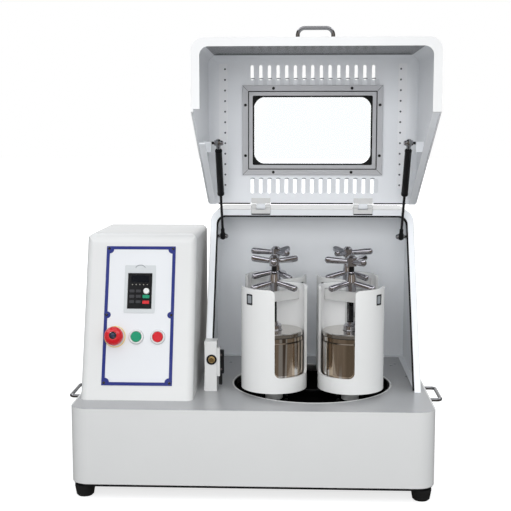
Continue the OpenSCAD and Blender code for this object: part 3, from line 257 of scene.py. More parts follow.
# The jars' polished steel has upright bands of painted reflection, light and dark, and painted shade on
# the shoulder under the lid.
PAINTED_REFLECTIONS = ((0.31, (0.05, 0.04, 0.035)), (0.36, (0.48, 0.39, 0.29)), (0.50, (0.74, 0.61, 0.48)),
         (0.545, (0.66, 0.54, 0.42)), (0.56, (0.95, 0.94, 0.92)), (0.60, (0.95, 0.94, 0.92)),
         (0.62, (0.24, 0.19, 0.15)))
GRAIN_ROUND = (0.3, 0.3, 14)
UPRIGHT = (1, 1, 0.02)
jar_steel = finish_of("jar_steel", (0.5, 0.46, 0.42), 1.0, 0.12, 0.03, 0.03, 160, 0.00001, 0.2,
                      GRAIN_ROUND)
tree = jar_steel.node_tree
tree.links.new(ramp(tree, noise(tree, 36, 1.5, UPRIGHT), PAINTED_REFLECTIONS),
               tree.nodes["Principled BSDF"].inputs["Base Color"])
masked(jar_steel, (0.12, 0.10, 0.08), [JAR_SHOULDER_SHADE], tone=0.02)

black_paint = finish_of("black_paint", (0.008, 0.008, 0.009), 0.0, 0.35, 0.04, 0.002, 500, 0.00003, 0.2,
                        spec=0.35)
deep_black = finish_of("deep_black", (0.003, 0.003, 0.003), 0.0, 0.5, 0.04, 0.001, 500, 0.00005, 0.4,
                       ior=1.3, spec=0.0)
# A black rubber, also used for the black strips at the hood's lower edge and below the hinge leaves,
# which are painted shadow.
black_rubber = finish_of("black_rubber", (0.011, 0.011, 0.011), 0.0, 0.72, 0.06, 0.003, 900, 0.0001, 0.5,
                         spec=0.3)
black_plastic = finish_of("black_plastic", (0.008, 0.008, 0.009), 0.0, 0.38, 0.05, 0.003, 1500, 0.00004,
                          0.4, spec=0.25)
slate = finish_of("slate_paint", (0.13, 0.14, 0.16), 0.0, 0.45, 0.05, 0.01, 500, 0.00005, 0.4)
motor_blue = finish_of("motor_paint", (0.05, 0.09, 0.15), 0.0, 0.4, 0.05, 0.01, 500, 0.00005, 0.4)
red_gloss = finish_of("red_gloss", (0.62, 0.012, 0.02), 0.0, 0.26, 0.0, 0.01, strength=0, coat=0.4)
green_gloss = finish_of("green_gloss", (0.0, 0.29, 0.15), 0.0, 0.3, 0.03, 0.01, 800, 0.00002, 0.2,
                        coat=0.3)
yellow_gloss = finish_of("yellow_gloss", (0.80, 0.55, 0.03), 0.0, 0.3, 0.03, 0.02, 800, 0.00002, 0.2)
white_gloss = finish_of("white_gloss", (0.78, 0.78, 0.77), 0.0, 0.25, 0.03, 0.01, 800, 0.00002, 0.2)
slate_gloss = finish_of("slate_gloss", (0.03, 0.035, 0.07), 0.0, 0.25, 0.04, 0.006, 900, 0.00002, 0.2)
navy_print = finish_of("navy_print", (0.012, 0.022, 0.19), 0.0, 0.4, 0.04, 0.006, 900, 0.00002, 0.2)
panel_film = finish_of("panel_film", (0.74, 0.75, 0.77), 0.0, 0.36, 0.03, 0.005, 900, 0.00002, 0.2)
bezel_grey = finish_of("bezel_grey", (0.60, 0.62, 0.63), 0.0, 0.4, 0.03, 0.008, 900, 0.00003, 0.25)
screen_glass = finish_of("screen_glass", (0.008, 0.009, 0.012), 0.0, 0.12, 0.03, 0.002, 900, 0.00001,
                         0.1)
key_rubber = finish_of("key_rubber", (0.035, 0.035, 0.04), 0.0, 0.55, 0.05, 0.006, 1500, 0.00004, 0.4)
lamp_lens = finish_of("lamp_lens", (0.45, 0.43, 0.38), 0.0, 0.3, 0.04, 0.02, 900, 0.00002, 0.2)
# A grey rubber for seals and inserts, also used for the louvres' grey ends, which are painted shade.
grey_seal_and_painted_shade = finish_of("seal_rubber_and_painted_shade", (0.30, 0.32, 0.34), 0.0, 0.6, 0.05, 0.01, 900, 0.00005, 0.4)

glass, tree, bsdf = new_material("clear_pane")
bsdf.inputs["Base Color"].default_value = (0.96, 0.98, 0.985, 1)
bsdf.inputs["Transmission Weight"].default_value = 1.0
bsdf.inputs["IOR"].default_value = 1.2
tree.links.new(span(tree, noise(tree, 9), 0.0, 0.02), bsdf.inputs["Roughness"])

finishes = [
    (("lid_hinges", "control_box", "lock_housing"), enamel),
    (("base_housing",), base_enamel_seams_and_painted_shade),
    (("lid_shell",), hood_enamel_painted_light_and_shade),
    (("chamber_shell",), chamber_enamel_painted_light),
    (("base_pan", "strut_cylinders", "strut_rods"), black_paint),
    (("turntable",), deep_black),
    (("rubber_feet", "drive_belt"), black_rubber),
    (("side_handles", "lid_handle"), handle_chrome),
    (("drive_frame", "main_bearing"), slate),
    (("drive_motor",), motor_blue),
    (("motor_pulley", "driven_pulley", "window_frame"), frame_alu),
    (("sun_gear",), gear_steel),
    (("lock_plunger",), brass),
    (("keypad",), black_plastic),
    (("speed_knob",), white_gloss),
    (("emergency_stop", "stop_button"), red_gloss),
    (("start_button",), green_gloss),
    (("window_pane",), glass),
]
finishes += [([f"{kind}_{place}" for place in STATIONS], mat) for kind, mat in (
    ("pot_holder", holder_enamel_painted_light), ("planet_gear", gear_steel), ("milling_jar", jar_steel),
    ("jar_lid", lid_steel), ("clamp_bar", nickel_with_painted_reflection), ("pressure_pad", chrome),
    ("clamp_screw", screw_steel), ("lock_star", chrome))]
for names, mat in finishes:
    for name in names:
        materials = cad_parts[name].data.materials
        materials.clear()
        materials.append(mat)


# Shape helpers. Sizes are in millimetres, in the CAD's own frame.

FACE_LEAN = radians(18)
FACE_FOOT_Y = -192
SHARP_FROM = radians(35)
BEVEL_FROM = radians(40)


def move(x, y, z):
    return Matrix.Translation(Vector((x, y, z)))


def spin(angle, axis="Z"):
    return Matrix.Rotation(angle, 4, axis)


def towards(direction, place):
    """A frame whose Z axis points along direction."""
    return move(*place) @ Vector(direction).to_track_quat("Z", "Y").to_matrix().to_4x4()


def on_face(x, up, out=0.0):
    """A frame on the control box's leaning face: X right, Y up the face, Z out of it."""
    s, c = sin(FACE_LEAN), cos(FACE_LEAN)
    axes = Matrix(((1, 0, 0, 0), (0, s, -c, 0), (0, c, s, 0), (0, 0, 0, 1)))
    return move(x, FACE_FOOT_Y + up * s - out * c, BASE_TOP + up * c + out * s) @ axes


def facing_front(x, y, z):
    """A frame whose X is right, Y is up and Z points to the front."""
    return move(x, y, z) @ spin(pi / 2, "X")


def facing_rear(x, y, z):
    """A frame whose X is left, Y is up and Z points to the rear."""
    return move(x, y, z) @ spin(pi) @ spin(pi / 2, "X")


def rounded_rect(w, h, r, steps=6, at=(0, 0)):
    pts = []
    for cx, cy, start in ((w / 2 - r, h / 2 - r, 0), (-w / 2 + r, h / 2 - r, 90),
                          (-w / 2 + r, -h / 2 + r, 180), (w / 2 - r, -h / 2 + r, 270)):
        for k in range(steps + 1):
            a = radians(start + 90 * k / steps)
            pts.append((at[0] + cx + r * cos(a), at[1] + cy + r * sin(a)))
    return pts


def ring(r, steps, at):
    return [(at[0] + r * cos(2 * pi * k / steps), at[1] + r * sin(2 * pi * k / steps))
            for k in range(steps)]


class Piece:
    """A mesh that is built up from several forms and then rides on a body."""

    def __init__(self):
        self.bm = bmesh.new()

    def lathe(self, profile, frame_at, steps=48):
        """A profile of (radius, height) pairs, turned round the frame's Z axis."""
        rings = []
        for r, z in profile:
            if r <= 1e-6:
                rings.append([self.bm.verts.new(frame_at @ Vector((0, 0, z)))])
            else:
                rings.append([self.bm.verts.new(frame_at @ Vector((r * cos(2 * pi * k / steps),
                                                                   r * sin(2 * pi * k / steps), z)))
                              for k in range(steps)])
        for low, high in zip(rings, rings[1:]):
            for k in range(steps):
                n = (k + 1) % steps
                if len(low) == 1 and len(high) == 1:
                    continue
                if len(low) == 1:
                    self.bm.faces.new((low[0], high[n], high[k]))
                elif len(high) == 1:
                    self.bm.faces.new((low[k], low[n], high[0]))
                else:
                    self.bm.faces.new((low[k], low[n], high[n], high[k]))
        return self

    def plate(self, outline, depth, frame_at, holes=()):
        """A flat plate with its back on the frame's XY plane."""
        loops = []
        made = []
        for pts in (outline, *holes):
            verts = [self.bm.verts.new((p[0], p[1], 0.0)) for p in pts]
            loops += [self.bm.edges.new(pair) for pair in zip(verts, verts[1:] + verts[:1])]
            made += verts
        res = bmesh.ops.triangle_fill(self.bm, use_beauty=True, use_dissolve=False, edges=loops,
                                      normal=(0, 0, 1))
        faces = [g for g in res["geom"] if isinstance(g, bmesh.types.BMFace)]
        ext = bmesh.ops.extrude_face_region(self.bm, geom=faces)
        top = [g for g in ext["geom"] if isinstance(g, bmesh.types.BMVert)]
        for v in top:
            v.co.z += depth
        for v in set(made + top):
            v.co = frame_at @ v.co
        return self

    def tube(self, pts, radius, steps=12):
        """A round bar along a path, closed at both ends."""
        pts = [Vector(p) for p in pts]
        last = len(pts) - 1
        rings = []
        normal = None
        for k, p in enumerate(pts):
            tangent = (pts[min(k + 1, last)] - pts[max(k - 1, 0)]).normalized()
            if normal is None:
                normal = tangent.orthogonal().normalized()
            normal = (normal - tangent * normal.dot(tangent)).normalized()
            side = tangent.cross(normal)
            rings.append([self.bm.verts.new(p + radius * (cos(2 * pi * j / steps) * normal
                                                          + sin(2 * pi * j / steps) * side))
                          for j in range(steps)])
        for low, high in zip(rings, rings[1:]):
            for j in range(steps):
                n = (j + 1) % steps
                self.bm.faces.new((low[j], low[n], high[n], high[j]))
        self.bm.faces.new(rings[0][::-1])
        self.bm.faces.new(rings[-1])
        return self

    def screw(self, frame_at, r, h, drive="slot"):
        """A domed head with a slot or a hexagonal socket."""
        if drive == "hex":
            inner = r * 0.5
            self.lathe([(r, 0), (r, h * 0.75), (r * 0.88, h), (inner, h)], frame_at, 24)
            self.lathe([(inner, h), (inner * 0.9, h * 0.35), (0, h * 0.35)], frame_at, 6)
        else:
            half_slot = r * 0.16
            angles = [pi * k / 14 for k in range(15)]
            for sgn in (-1, 1):
                pts = [(sgn * max(r * sin(a), half_slot), r * cos(a)) for a in angles]
                self.plate(pts[::sgn], h, frame_at)
            self.lathe([(r * 0.98, 0), (r * 0.98, h * 0.55), (0, h * 0.55)], frame_at, 24)
        return self

    def done(self, name, mat, body, bevel=0.0, slot=None):
        """Makes the piece, which rides on a body. The slot argument is not used."""
        bmesh.ops.remove_doubles(self.bm, verts=self.bm.verts, dist=0.0005)
        bmesh.ops.recalc_face_normals(self.bm, faces=self.bm.faces)
        bmesh.ops.scale(self.bm, vec=(MM, MM, MM), verts=self.bm.verts)
        mesh = bpy.data.meshes.new(name)
        self.bm.to_mesh(mesh)
        self.bm.free()
        for poly in mesh.polygons:
            poly.use_smooth = True
        mesh.set_sharp_from_angle(angle=SHARP_FROM)
        mesh.materials.append(mat)
        obj = bpy.data.objects.new(name, mesh)
        scene.collection.objects.link(obj)
        if bevel:
            mod = obj.modifiers.new("edge", "BEVEL")
            mod.width = bevel * MM
            mod.segments = 2
            mod.limit_method = "ANGLE"
            mod.angle_limit = BEVEL_FROM
            mod.harden_normals = False
        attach(obj, body)
        return obj


# Control box: the printed border, the panel in it, and the screws that hold the panel.

BOX_X = -246
PANEL_UP = 181
PANEL_W = 150
PANEL_H = 300
BORDER = 14
SCREW_IN = 5.5


def notched(w, h, r, side_r, steps=7, side_steps=12):
    """A rectangle with a quarter round bitten out of each corner and a half round at mid height."""
    pts = []
    for sx, sy, start in ((1, 1, 270), (-1, 1, 0), (-1, -1, 90), (1, -1, 180)):
        angles = [radians(start - 90 * k / steps) for k in range(steps + 1)]
        pts += [(sx * w / 2 + r * cos(a), sy * h / 2 + r * sin(a)) for a in angles]
        if sx != sy:
            angles = [radians(180 + sx * 90 - 180 * k / side_steps) for k in range(side_steps + 1)]
            pts += [(sx * w / 2 + side_r * cos(a), side_r * sin(a)) for a in angles]
    return pts


panel_at = on_face(BOX_X, PANEL_UP, 0.3)
Piece().plate(notched(PANEL_W - BORDER - 0.4, PANEL_H - BORDER - 0.4, 9, 7.2), 0.5, panel_at).done(
    "panel_plate", panel_film, "base", slot="white_enamel")
Piece().plate(rounded_rect(PANEL_W, PANEL_H, 1), 0.8, panel_at,
              [notched(PANEL_W - BORDER, PANEL_H - BORDER, 9, 7.2)]).done(
    "panel_border", navy_print, "base", 0.15)
screws = Piece()
for sx in (-1, 1):
    for sy in (-1, 0, 1):
        at = panel_at @ move(sx * (PANEL_W / 2 - SCREW_IN), sy * (PANEL_H / 2 - SCREW_IN), 0.7)
        screws.screw(at @ spin(0.4 + sx + sy), 2.9, 1.5)
screws.done("panel_screws", chrome, "base", 0.15, slot="bright_chrome")

# Keypad: its bezel, screen, lamps and keys.
KEYPAD_UP = 233
KEY_OUT = 2.9
bezel_at = on_face(BOX_X, KEYPAD_UP + 4, 0.7)
key_at = on_face(BOX_X, KEYPAD_UP, 2.4)
Piece().plate(rounded_rect(67, 104, 2.5), 1.1, bezel_at,
              [rounded_rect(52.6, 77.6, 1.2, at=(0, -4))]).done(
    "keypad_bezel", bezel_grey, "base", 0.4, slot="white_enamel")
lip = [(11 * cos(radians(a)), 43.6 + 9 * sin(radians(a))) for a in range(20, 161, 10)]
Piece().tube([bezel_at @ Vector((x, y, 1.1)) for x, y in lip], 0.8, 8).done(
    "keypad_finger_lip", grey_seal_and_painted_shade, "base")
Piece().plate(rounded_rect(50.4, 75.4, 1.6), 0.5, key_at).done(
    "keypad_overlay", black_plastic, "base", 0.2, slot="keypad_black")
Piece().plate(rounded_rect(38, 15, 1.2, at=(0, 26)), 0.3, on_face(BOX_X, KEYPAD_UP, KEY_OUT)).done(
    "keypad_screen", screen_glass, "base", 0.1)
lamps = Piece()
for k in range(5):
    lamps.lathe([(1.0, 0), (1.0, 0.4), (0.5, 0.75), (0, 0.85)],
                on_face(BOX_X - 16 + 8 * k, KEYPAD_UP + 13.5, KEY_OUT), 16)
lamps.done("keypad_lamps", lamp_lens, "base")
keys = Piece()
for row in range(3):
    for col in range(2):
        keys.plate(rounded_rect(10.5, 6.2, 1.4), 1.3,
                   on_face(BOX_X - 16.5 + 14 * col, KEYPAD_UP - 0.5 - 11.6 * row, KEY_OUT))
keys.done("keypad_keys", key_rubber, "base", 0.4, slot="keypad_black")
for name, mat, slot, up in (("keypad_green_key", green_gloss, "signal_green", KEYPAD_UP - 12.5),
                            ("keypad_red_key", red_gloss, "signal_red", KEYPAD_UP - 24.8)):
    Piece().plate(rounded_rect(14.5, 7.0, 1.5), 1.4, on_face(BOX_X + 14, up, KEY_OUT)).done(
        name, mat, "base", 0.4, slot=slot)

# Buttons: rings round the caps, and the head of the emergency stop.
BUTTON_UP = 134
ESTOP_X = BOX_X - 50
for name, x in (("start", BOX_X - 4), ("stop", BOX_X + 42)):
    at = on_face(x, BUTTON_UP, 0.3)
    Piece().lathe([(15.4, 0), (15.4, 2.6), (14.6, 5.2), (13.6, 6.0), (12.4, 6.0), (11.7, 5.0),
                   (11.7, 0.4)], at, 56).done(f"{name}_ring", white_gloss, "base")
    Piece().lathe([(15.9, 0), (15.9, 1.0), (15.4, 1.3), (15.2, 1.3)], at, 56).done(
        f"{name}_washer", grey_seal_and_painted_shade, "base")
Piece().lathe([(22.8, 0), (22.8, 1.6), (22.2, 2.4), (13.0, 2.9), (12.0, 2.9), (12.0, 0)],
              on_face(ESTOP_X, BUTTON_UP, 0.2), 64).done("estop_collar", yellow_gloss, "base")
head_at = on_face(ESTOP_X, BUTTON_UP, 11)
Piece().lathe([(14, -1.5), (18.6, -0.4), (19.9, 1.6), (19.9, 5.4), (19.2, 8.4), (17.6, 11.4),
               (14.6, 14.0), (10.6, 15.5), (9.4, 15.75), (8.6, 15.4), (0, 15.2)], head_at, 64).done(
    "estop_head", red_gloss, "estop", slot="signal_red")
Piece().lathe([(7.9, 15.2), (7.9, 16.0), (7.3, 16.5), (6.2, 16.5), (5.8, 15.9), (0, 15.9)],
              head_at, 48).done("estop_centre_ring", chrome, "estop", slot="bright_chrome")
Piece().lathe([(4.9, 15.6), (4.9, 16.3), (4.4, 16.6), (0, 16.6)], head_at, 40).done(
    "estop_centre", slate_gloss, "estop")

# Speed knob: its fluted skirt.
KNOB_FLUTES = 14
knob_at = on_face(BOX_X + 15, 232, 3.2)
flutes = Piece()
for k in range(KNOB_FLUTES):
    a = 2 * pi * k / KNOB_FLUTES
    flutes.plate(ring(0.65, 8, (5.95 * cos(a), 5.95 * sin(a))), 5.1, knob_at)
flutes.done("knob_flutes", white_gloss, "knob", slot="knob_white")

# Rear of the control box: an appliance inlet in the cable opening and screws along the cover.
INLET_X = BOX_X + 63.5
INLET_Z = BASE_TOP + 50
COVER_BACK = 170
Piece().plate(rounded_rect(50, 26, 3), 2.0, facing_rear(INLET_X, COVER_BACK + 0.1, INLET_Z),
              [rounded_rect(22.5, 14.5, 3.5)]).done(
    "inlet_flange", black_plastic, "base", 0.5, slot="keypad_black")
Piece().plate(rounded_rect(22.6, 14.6, 3.5), 0.8, facing_rear(INLET_X, COVER_BACK - 1.8, INLET_Z)).done(
    "inlet_floor", black_plastic, "base")
pins = Piece()
for at in ((-7, -1), (0, 3), (7, -1)):
    pins.plate(rounded_rect(2, 4, 0.3, 3, at), 2.6, facing_rear(INLET_X, COVER_BACK - 1.4, INLET_Z))
pins.done("inlet_pins", brass, "base", 0.1)
rear_screws = Piece()
for dx in (-108, 108):
    for up in (16, 165, 318):
        rear_screws.screw(facing_rear(BOX_X + dx, COVER_BACK, BASE_TOP + up), 3.4, 1.6)
for dx in (-20, 20):
    rear_screws.screw(facing_rear(INLET_X + dx, COVER_BACK + 2, INLET_Z), 2.3, 1.0)
rear_screws.done("box_rear_screws", chrome, "base", 0.15, slot="bright_chrome")

# Base: the lip of the deck opening, screws in the deck and washers over the feet.
Piece().lathe([(175.2, -2.2), (175.2, 0.3), (175.9, 0.7), (178.2, 0.7), (178.8, 0.1)],
              move(MID_X, DECK_Y, BASE_TOP), 160).done("deck_lip", enamel, "base", slot="white_enamel")
deck_bolts = Piece()
for x, y in ((320, 150), (331, 168), (345, 40), (-70, 168)):
    deck_bolts.screw(move(x, y, BASE_TOP), 3.2, 1.4)
deck_bolts.done("deck_screws", dark_chrome, "base", 0.15)
foot_pads = Piece()
for x in (-348, 348):
    for y in (-233, 233):
        foot_pads.lathe([(8.5, 23.2), (8.5, 24.4), (14, 24.4), (14.0, 23.2)], move(x, y, 0), 40)
foot_pads.done("foot_washers", gear_steel, "base")

# Side handles: flanges under their ends.
WALL_X = 375
HANDLE_Y = -62
HANDLE_Z = 177
flanges = Piece()
for sx in (-1, 1):
    for dy in (-46.2, 46.2):
        flanges.lathe([(9.5, 0), (9.5, 1.6), (8.5, 2.6), (4.0, 2.8)],
                      towards((sx, 0, 0), (sx * WALL_X, HANDLE_Y + dy, HANDLE_Z)), 32)
flanges.done("side_handle_flanges", dark_chrome, "base", slot="bright_chrome")

# Turntable: bolts round each hub and a cap ring.
TURNTABLE_TOP = 175
turn_bolts = Piece()
for cx, cy in AXES.values():
    for k in range(6):
        a = radians(30 + 60 * k)
        turn_bolts.screw(move(cx + 31 * cos(a), cy + 31 * sin(a), TURNTABLE_TOP), 3.6, 3.2, "hex")
turn_bolts.done("turntable_bolts", black_metal_and_painted_shade, "turn", 0.15)
Piece().lathe([(26, 0), (26, 3), (24, 5), (9, 5), (9, 2), (0, 2)],
              move(MID_X, DECK_Y, TURNTABLE_TOP), 64).done("turntable_cap", black_metal_and_painted_shade, "turn")

# Pot stations. The lock stars' arms droop, so that their ends dip below the holder's rim.
JAR_Z = 214
JAR_H = 104
JAR_TOP = 327
BAR_Z = 389
BAR_TOP = BAR_Z + 22
RIM_TOP = 423
STAR_TURN = {"front_left": -90, "front_right": -65, "rear_right": 0, "rear_left": -60}
LOCK_TURN = {"front_left": -30, "front_right": -30, "rear_right": -35, "rear_left": -50}
STAR_REACH = 57.6
STAR_RISE = 4
LOCK_DROOP = 12
PITCH = 3.0
THREAD_STEPS = 20
THREAD_ROOT = 5.42
THREAD_RIDGE = 0.5


def star_arms(piece, here, z, turn, rise, grip_r, start):
    """The three arms of a star handle, which swell towards round ends."""
    tip = [(grip_r * cos(radians(b)), STAR_REACH - grip_r * 0.8 + grip_r * 0.8 * sin(radians(b)))
           for b in range(0, 90, 15)]
    profile = [(0, start), (grip_r * 0.76, start), (grip_r * 0.82, 15), (grip_r * 0.9, 28), (grip_r, 40),
               *tip, (0, STAR_REACH)]
    for around in (0, 120, 240):
        piece.lathe(profile, here @ move(0, 0, z) @ spin(radians(turn + around))
                    @ spin(radians(90 - rise), "Y"), 28)
    return piece


def thread(piece, cx, cy, z0, z1):
    """A helical ridge that fades out at both ends."""
    count = int((z1 - z0) / PITCH * THREAD_STEPS)
    rows = []
    for k in range(count + 1):
        a = 2 * pi * k / THREAD_STEPS
        z = z0 + PITCH * k / THREAD_STEPS
        ridge = THREAD_ROOT + THREAD_RIDGE * min(1.0, k / 8, (count - k) / 8)
        rows.append([piece.bm.verts.new((cx + r * cos(a), cy + r * sin(a), z + dz)) for r, dz in
                     ((THREAD_ROOT, -1.3), (ridge, -0.15), (ridge, 0.15), (THREAD_ROOT, 1.3))])
    for low, high in zip(rows, rows[1:]):
        for j in range(3):
            piece.bm.faces.new((low[j], high[j], high[j + 1], low[j + 1]))


for place, (_, turn) in STATIONS.items():
    cx, cy = AXES[place]
    here = move(cx, cy, 0)
    planet = f"planet_{place}"
    screw = f"screw_{place}"
    Piece().lathe([(18.3, 176), (19.2, 176.6), (19.2, 199.4), (18.3, 200)], here, 56).done(
        f"hub_sleeve_{place}", nickel_with_painted_reflection, planet)
    Piece().lathe([(22, 199.2), (24.5, 199.8), (24.5, 202.3), (20, 202.3)], here, 56).done(
        f"hub_flange_{place}", lid_steel, planet)
    Piece().lathe([(61.2, -1.0), (62.35, -0.5), (62.35, 0.5), (61.2, 1.0)], move(cx, cy, JAR_Z + JAR_H),
                  96).done(f"jar_seal_{place}", black_rubber, planet)
    Piece().lathe([(16.1, 0.2), (17.3, 0.4), (17.8, 1.2), (17.3, 2.0), (16.1, 2.2)],
                  move(cx, cy, JAR_TOP), 48).done(f"pad_skirt_{place}", dark_chrome, f"pad_{place}")
    turns = Piece()
    thread(turns, cx, cy, JAR_TOP + 19, BAR_Z - 9.4)
    thread(turns, cx, cy, BAR_TOP + 20, RIM_TOP + 42)
    turns.done(f"screw_thread_{place}", black_metal_and_painted_shade, screw)
    # In each holder's window, a black frame round a grey inset: the frame is painted shade in the
    # window.
    ends, insets = Piece(), Piece()
    for sgn in (-1, 1):
        out = here @ spin(radians(turn)) @ move(0, sgn * 69.5, BAR_Z + 11) @ spin(-sgn * pi / 2, "X")
        ends.plate(rounded_rect(18, 22, 0.8, 3), 0.35, out, [rounded_rect(12, 16, 1.5, 3)])
        insets.plate(rounded_rect(12, 16, 1.5, 3), 0.15, out)
    ends.done(f"bar_end_shade_frames_{place}", black_metal_and_painted_shade, planet)
    insets.done(f"bar_end_insets_{place}", grey_seal_and_painted_shade, planet)
    star_arms(Piece(), here, RIM_TOP + 52, STAR_TURN[place], STAR_RISE, 7.3, 12).done(
        f"clamp_screw_grips_{place}", chrome, screw)
    star = Piece().lathe([(6.3, 0.4), (9.8, 0.4), (10.8, 1.4), (11, 18), (10.6, 26), (8.8, 36),
                          (7.6, 41), (7.0, 42), (6.3, 42), (6.3, 0.4)], move(cx, cy, BAR_TOP))
    star_arms(star, here, BAR_TOP + 20, LOCK_TURN[place], -LOCK_DROOP, 7.0, 7)
    lock = star.done(f"lock_star_cast_{place}", chrome, f"nut_{place}", slot="bright_chrome")
    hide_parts(f"lock_star_{place}")
    Piece().lathe([(6.6, 64), (6.6, 65.4), (5.2, 66.6), (2.6, 66.6), (2.2, 65.6), (0, 65.6)],
                  move(cx, cy, RIM_TOP), 36).done(f"screw_crown_{place}", chrome, screw)

# Chamber: the seal on its slanted front flange.
SLOPE = 209 / 382
FLANGE_Y = -104
SEAL_X = 220.8
SEAL_R = 21.4
SEAL_BEND_Z = 535
seal = [(-SEAL_X, 193), (-SEAL_X, SEAL_BEND_Z)]
seal += [(-SEAL_X + SEAL_R - SEAL_R * cos(radians(a)), SEAL_BEND_Z + SEAL_R * sin(radians(a)))
         for a in range(10, 91, 10)]
seal += [(-x, z) for x, z in seal[::-1]]
Piece().tube([(MID_X + x, FLANGE_Y + 4.2 + (z - BASE_TOP) * SLOPE, z) for x, z in seal], 2.7).done(
    "chamber_seal", black_rubber, "base", slot="black_rubber")

# Gas struts: ball studs, sockets and the cylinders' caps.
STRUT_X = 208
STRUT_LOW = (99, 509)
STRUT_TOP = (-31, 727)
run = Vector((0, STRUT_TOP[0] - STRUT_LOW[0], STRUT_TOP[1] - STRUT_LOW[1])).normalized()
low_studs, top_studs, low_sockets, top_sockets, caps = (Piece() for _ in range(5))
for sx in (-1, 1):
    low = Vector((MID_X + sx * STRUT_X, *STRUT_LOW))
    top = Vector((MID_X + sx * STRUT_X, *STRUT_TOP))
    inward = Vector((-sx, 0, 0))
    low_studs.lathe([(0, -22), (4.2, -22), (4.2, -14), (6.5, -13), (6.5, -11), (3.4, -10), (3.4, -5),
                     (5.2, -3.6), (6.1, 0), (5.2, 3.6), (2.6, 5.6), (0, 6.1)],
                    towards(inward, low + inward * 6.5), 28)
    top_studs.lathe([(0, -15), (6.0, -15), (6.0, -12.5), (3.2, -12), (3.2, -5), (5.0, -3.6), (5.9, 0),
                     (5.0, 3.6), (2.6, 5.4), (0, 5.9)], towards(inward, top + inward * 6.5), 28)
    for socket, ball, way, shank in ((low_sockets, low, run, 13), (top_sockets, top, -run, 21)):
        socket.lathe([(0, -8.4), (4.6, -7.4), (7.6, -4.0), (8.4, 0), (7.6, 4.0), (5.6, 7.2), (4.6, 10),
                      (4.6, shank), (3.9, shank + 1)], towards(way, ball), 28)
    caps.lathe([(7.5, 0), (8.0, 0.6), (8.0, 5.4), (7.3, 6.4), (4.2, 6.8), (3.6, 7.6)],
               towards(-run, top - run * 130), 32)
    caps.lathe([(7.5, -0.6), (8.0, 0), (8.0, 3.2), (6.8, 5.0), (4.4, 6.0)],
               towards(run, top - run * 22), 32)
low_studs.done("strut_low_studs", dark_chrome, "base", slot="bright_chrome")
top_studs.done("strut_top_studs", chrome, "hood", slot="bright_chrome")
low_sockets.done("strut_low_sockets", black_metal_and_painted_shade, "strut_rod_pair")
top_sockets.done("strut_top_sockets", dark_chrome, "strut_cylinder_pair")
caps.done("strut_caps", black_plastic, "strut_cylinder_pair")

# Hood: the window's bezel of four mitred bars, its joints, gaskets and screws.
WINDOW_Z = 755
BEZEL_W = 323
BEZEL_H = 206
BEZEL_BAR = 12.6
front = facing_front(MID_X, 95, WINDOW_Z)
recess = facing_front(MID_X, 98.2, WINDOW_Z)
bars = Piece()
for quarter, (w, h) in enumerate(((BEZEL_W, BEZEL_H), (BEZEL_H, BEZEL_W))):
    for half in (1, 0):
        outer_x, outer_y = w / 2 - 0.6, h / 2 - 0.6
        inner_x, inner_y = outer_x - BEZEL_BAR, outer_y - BEZEL_BAR
        bars.plate([(-inner_x, inner_y), (inner_x, inner_y), (outer_x, outer_y), (-outer_x, outer_y)],
                   1.1, front @ spin(half * pi + quarter * pi / 2))
bars.done("window_bezel", frame_alu, "hood", 0.45, slot="pulley_aluminium")
joints = Piece()
joints.plate(rounded_rect(297, 180, 1, 2), 1.15, front, [rounded_rect(293, 176, 1, 2)])
for sx in (-1, 1):
    for sz in (-1, 1):
        mitre = front @ move(sx * 154.8, sz * 96.3, 0) @ spin(sx * sz * pi / 4)
        joints.plate(rounded_rect(17, 0.7, 0.2, 2), 1.2, mitre)
joints.done("window_joints", black_rubber, "hood")
Piece().plate(rounded_rect(293, 176, 2), 2.6, recess, [rounded_rect(276, 159, 3)]).done(
    "window_inner_bezel", frame_alu, "hood", 0.7, slot="pulley_aluminium")
Piece().plate(rounded_rect(286, 169, 4), 1.4, recess, [rounded_rect(270, 153, 27, 12)]).done(
    "window_gasket", black_rubber, "hood", 0.4, slot="black_rubber")
Piece().plate(rounded_rect(281, 164, 22, 10), 1.6, facing_rear(MID_X, 103.6, WINDOW_Z),
              [rounded_rect(269, 152, 18, 10)]).done(
    "window_outer_trim", black_rubber, "hood", 0.6, slot="black_rubber")
win_screws = Piece()
for x, z in ((90, 96), (154.5, 58)):
    for sx in (-1, 1):
        for sz in (-1, 1):
            win_screws.screw(front @ move(sx * x, sz * z, 1.1) @ spin(sx * x * 0.7 + sz * z), 3.3, 1.9)
win_screws.done("window_screws", black_metal_and_painted_shade, "hood", 0.15)

# Hood: the flanges of its side walls, lighter as painted light, with dark dots as painted shade of small
# holes, and the louvres' folds, in painted light and shade, with grey arches at their ends as painted
# shade.
LOUVRES = 15
LOUVRE_STEP = 19.9
# dots: dark dots on the flanges, painted shade of small holes.
strips, dots = Piece(), Piece()
for sx in (-1, 1):
    strips.plate(rounded_rect(20, 286, 3, at=(sx * 206, 0)), 1.2, facing_front(MID_X, 102, 764))
    for k in range(12):
        dots.lathe([(2.2, 0), (2.2, 0.25), (1.4, 0.5), (0, 0.35)],
                   facing_front(MID_X + sx * 202, 100.8, 895 - 24.2 * k), 16)
strips.done("hood_weld_flanges", flange_enamel_painted_light, "hood", 0.5, slot="white_enamel")
dots.done("hood_hole_shade_dots", dark_hole_shade, "hood")
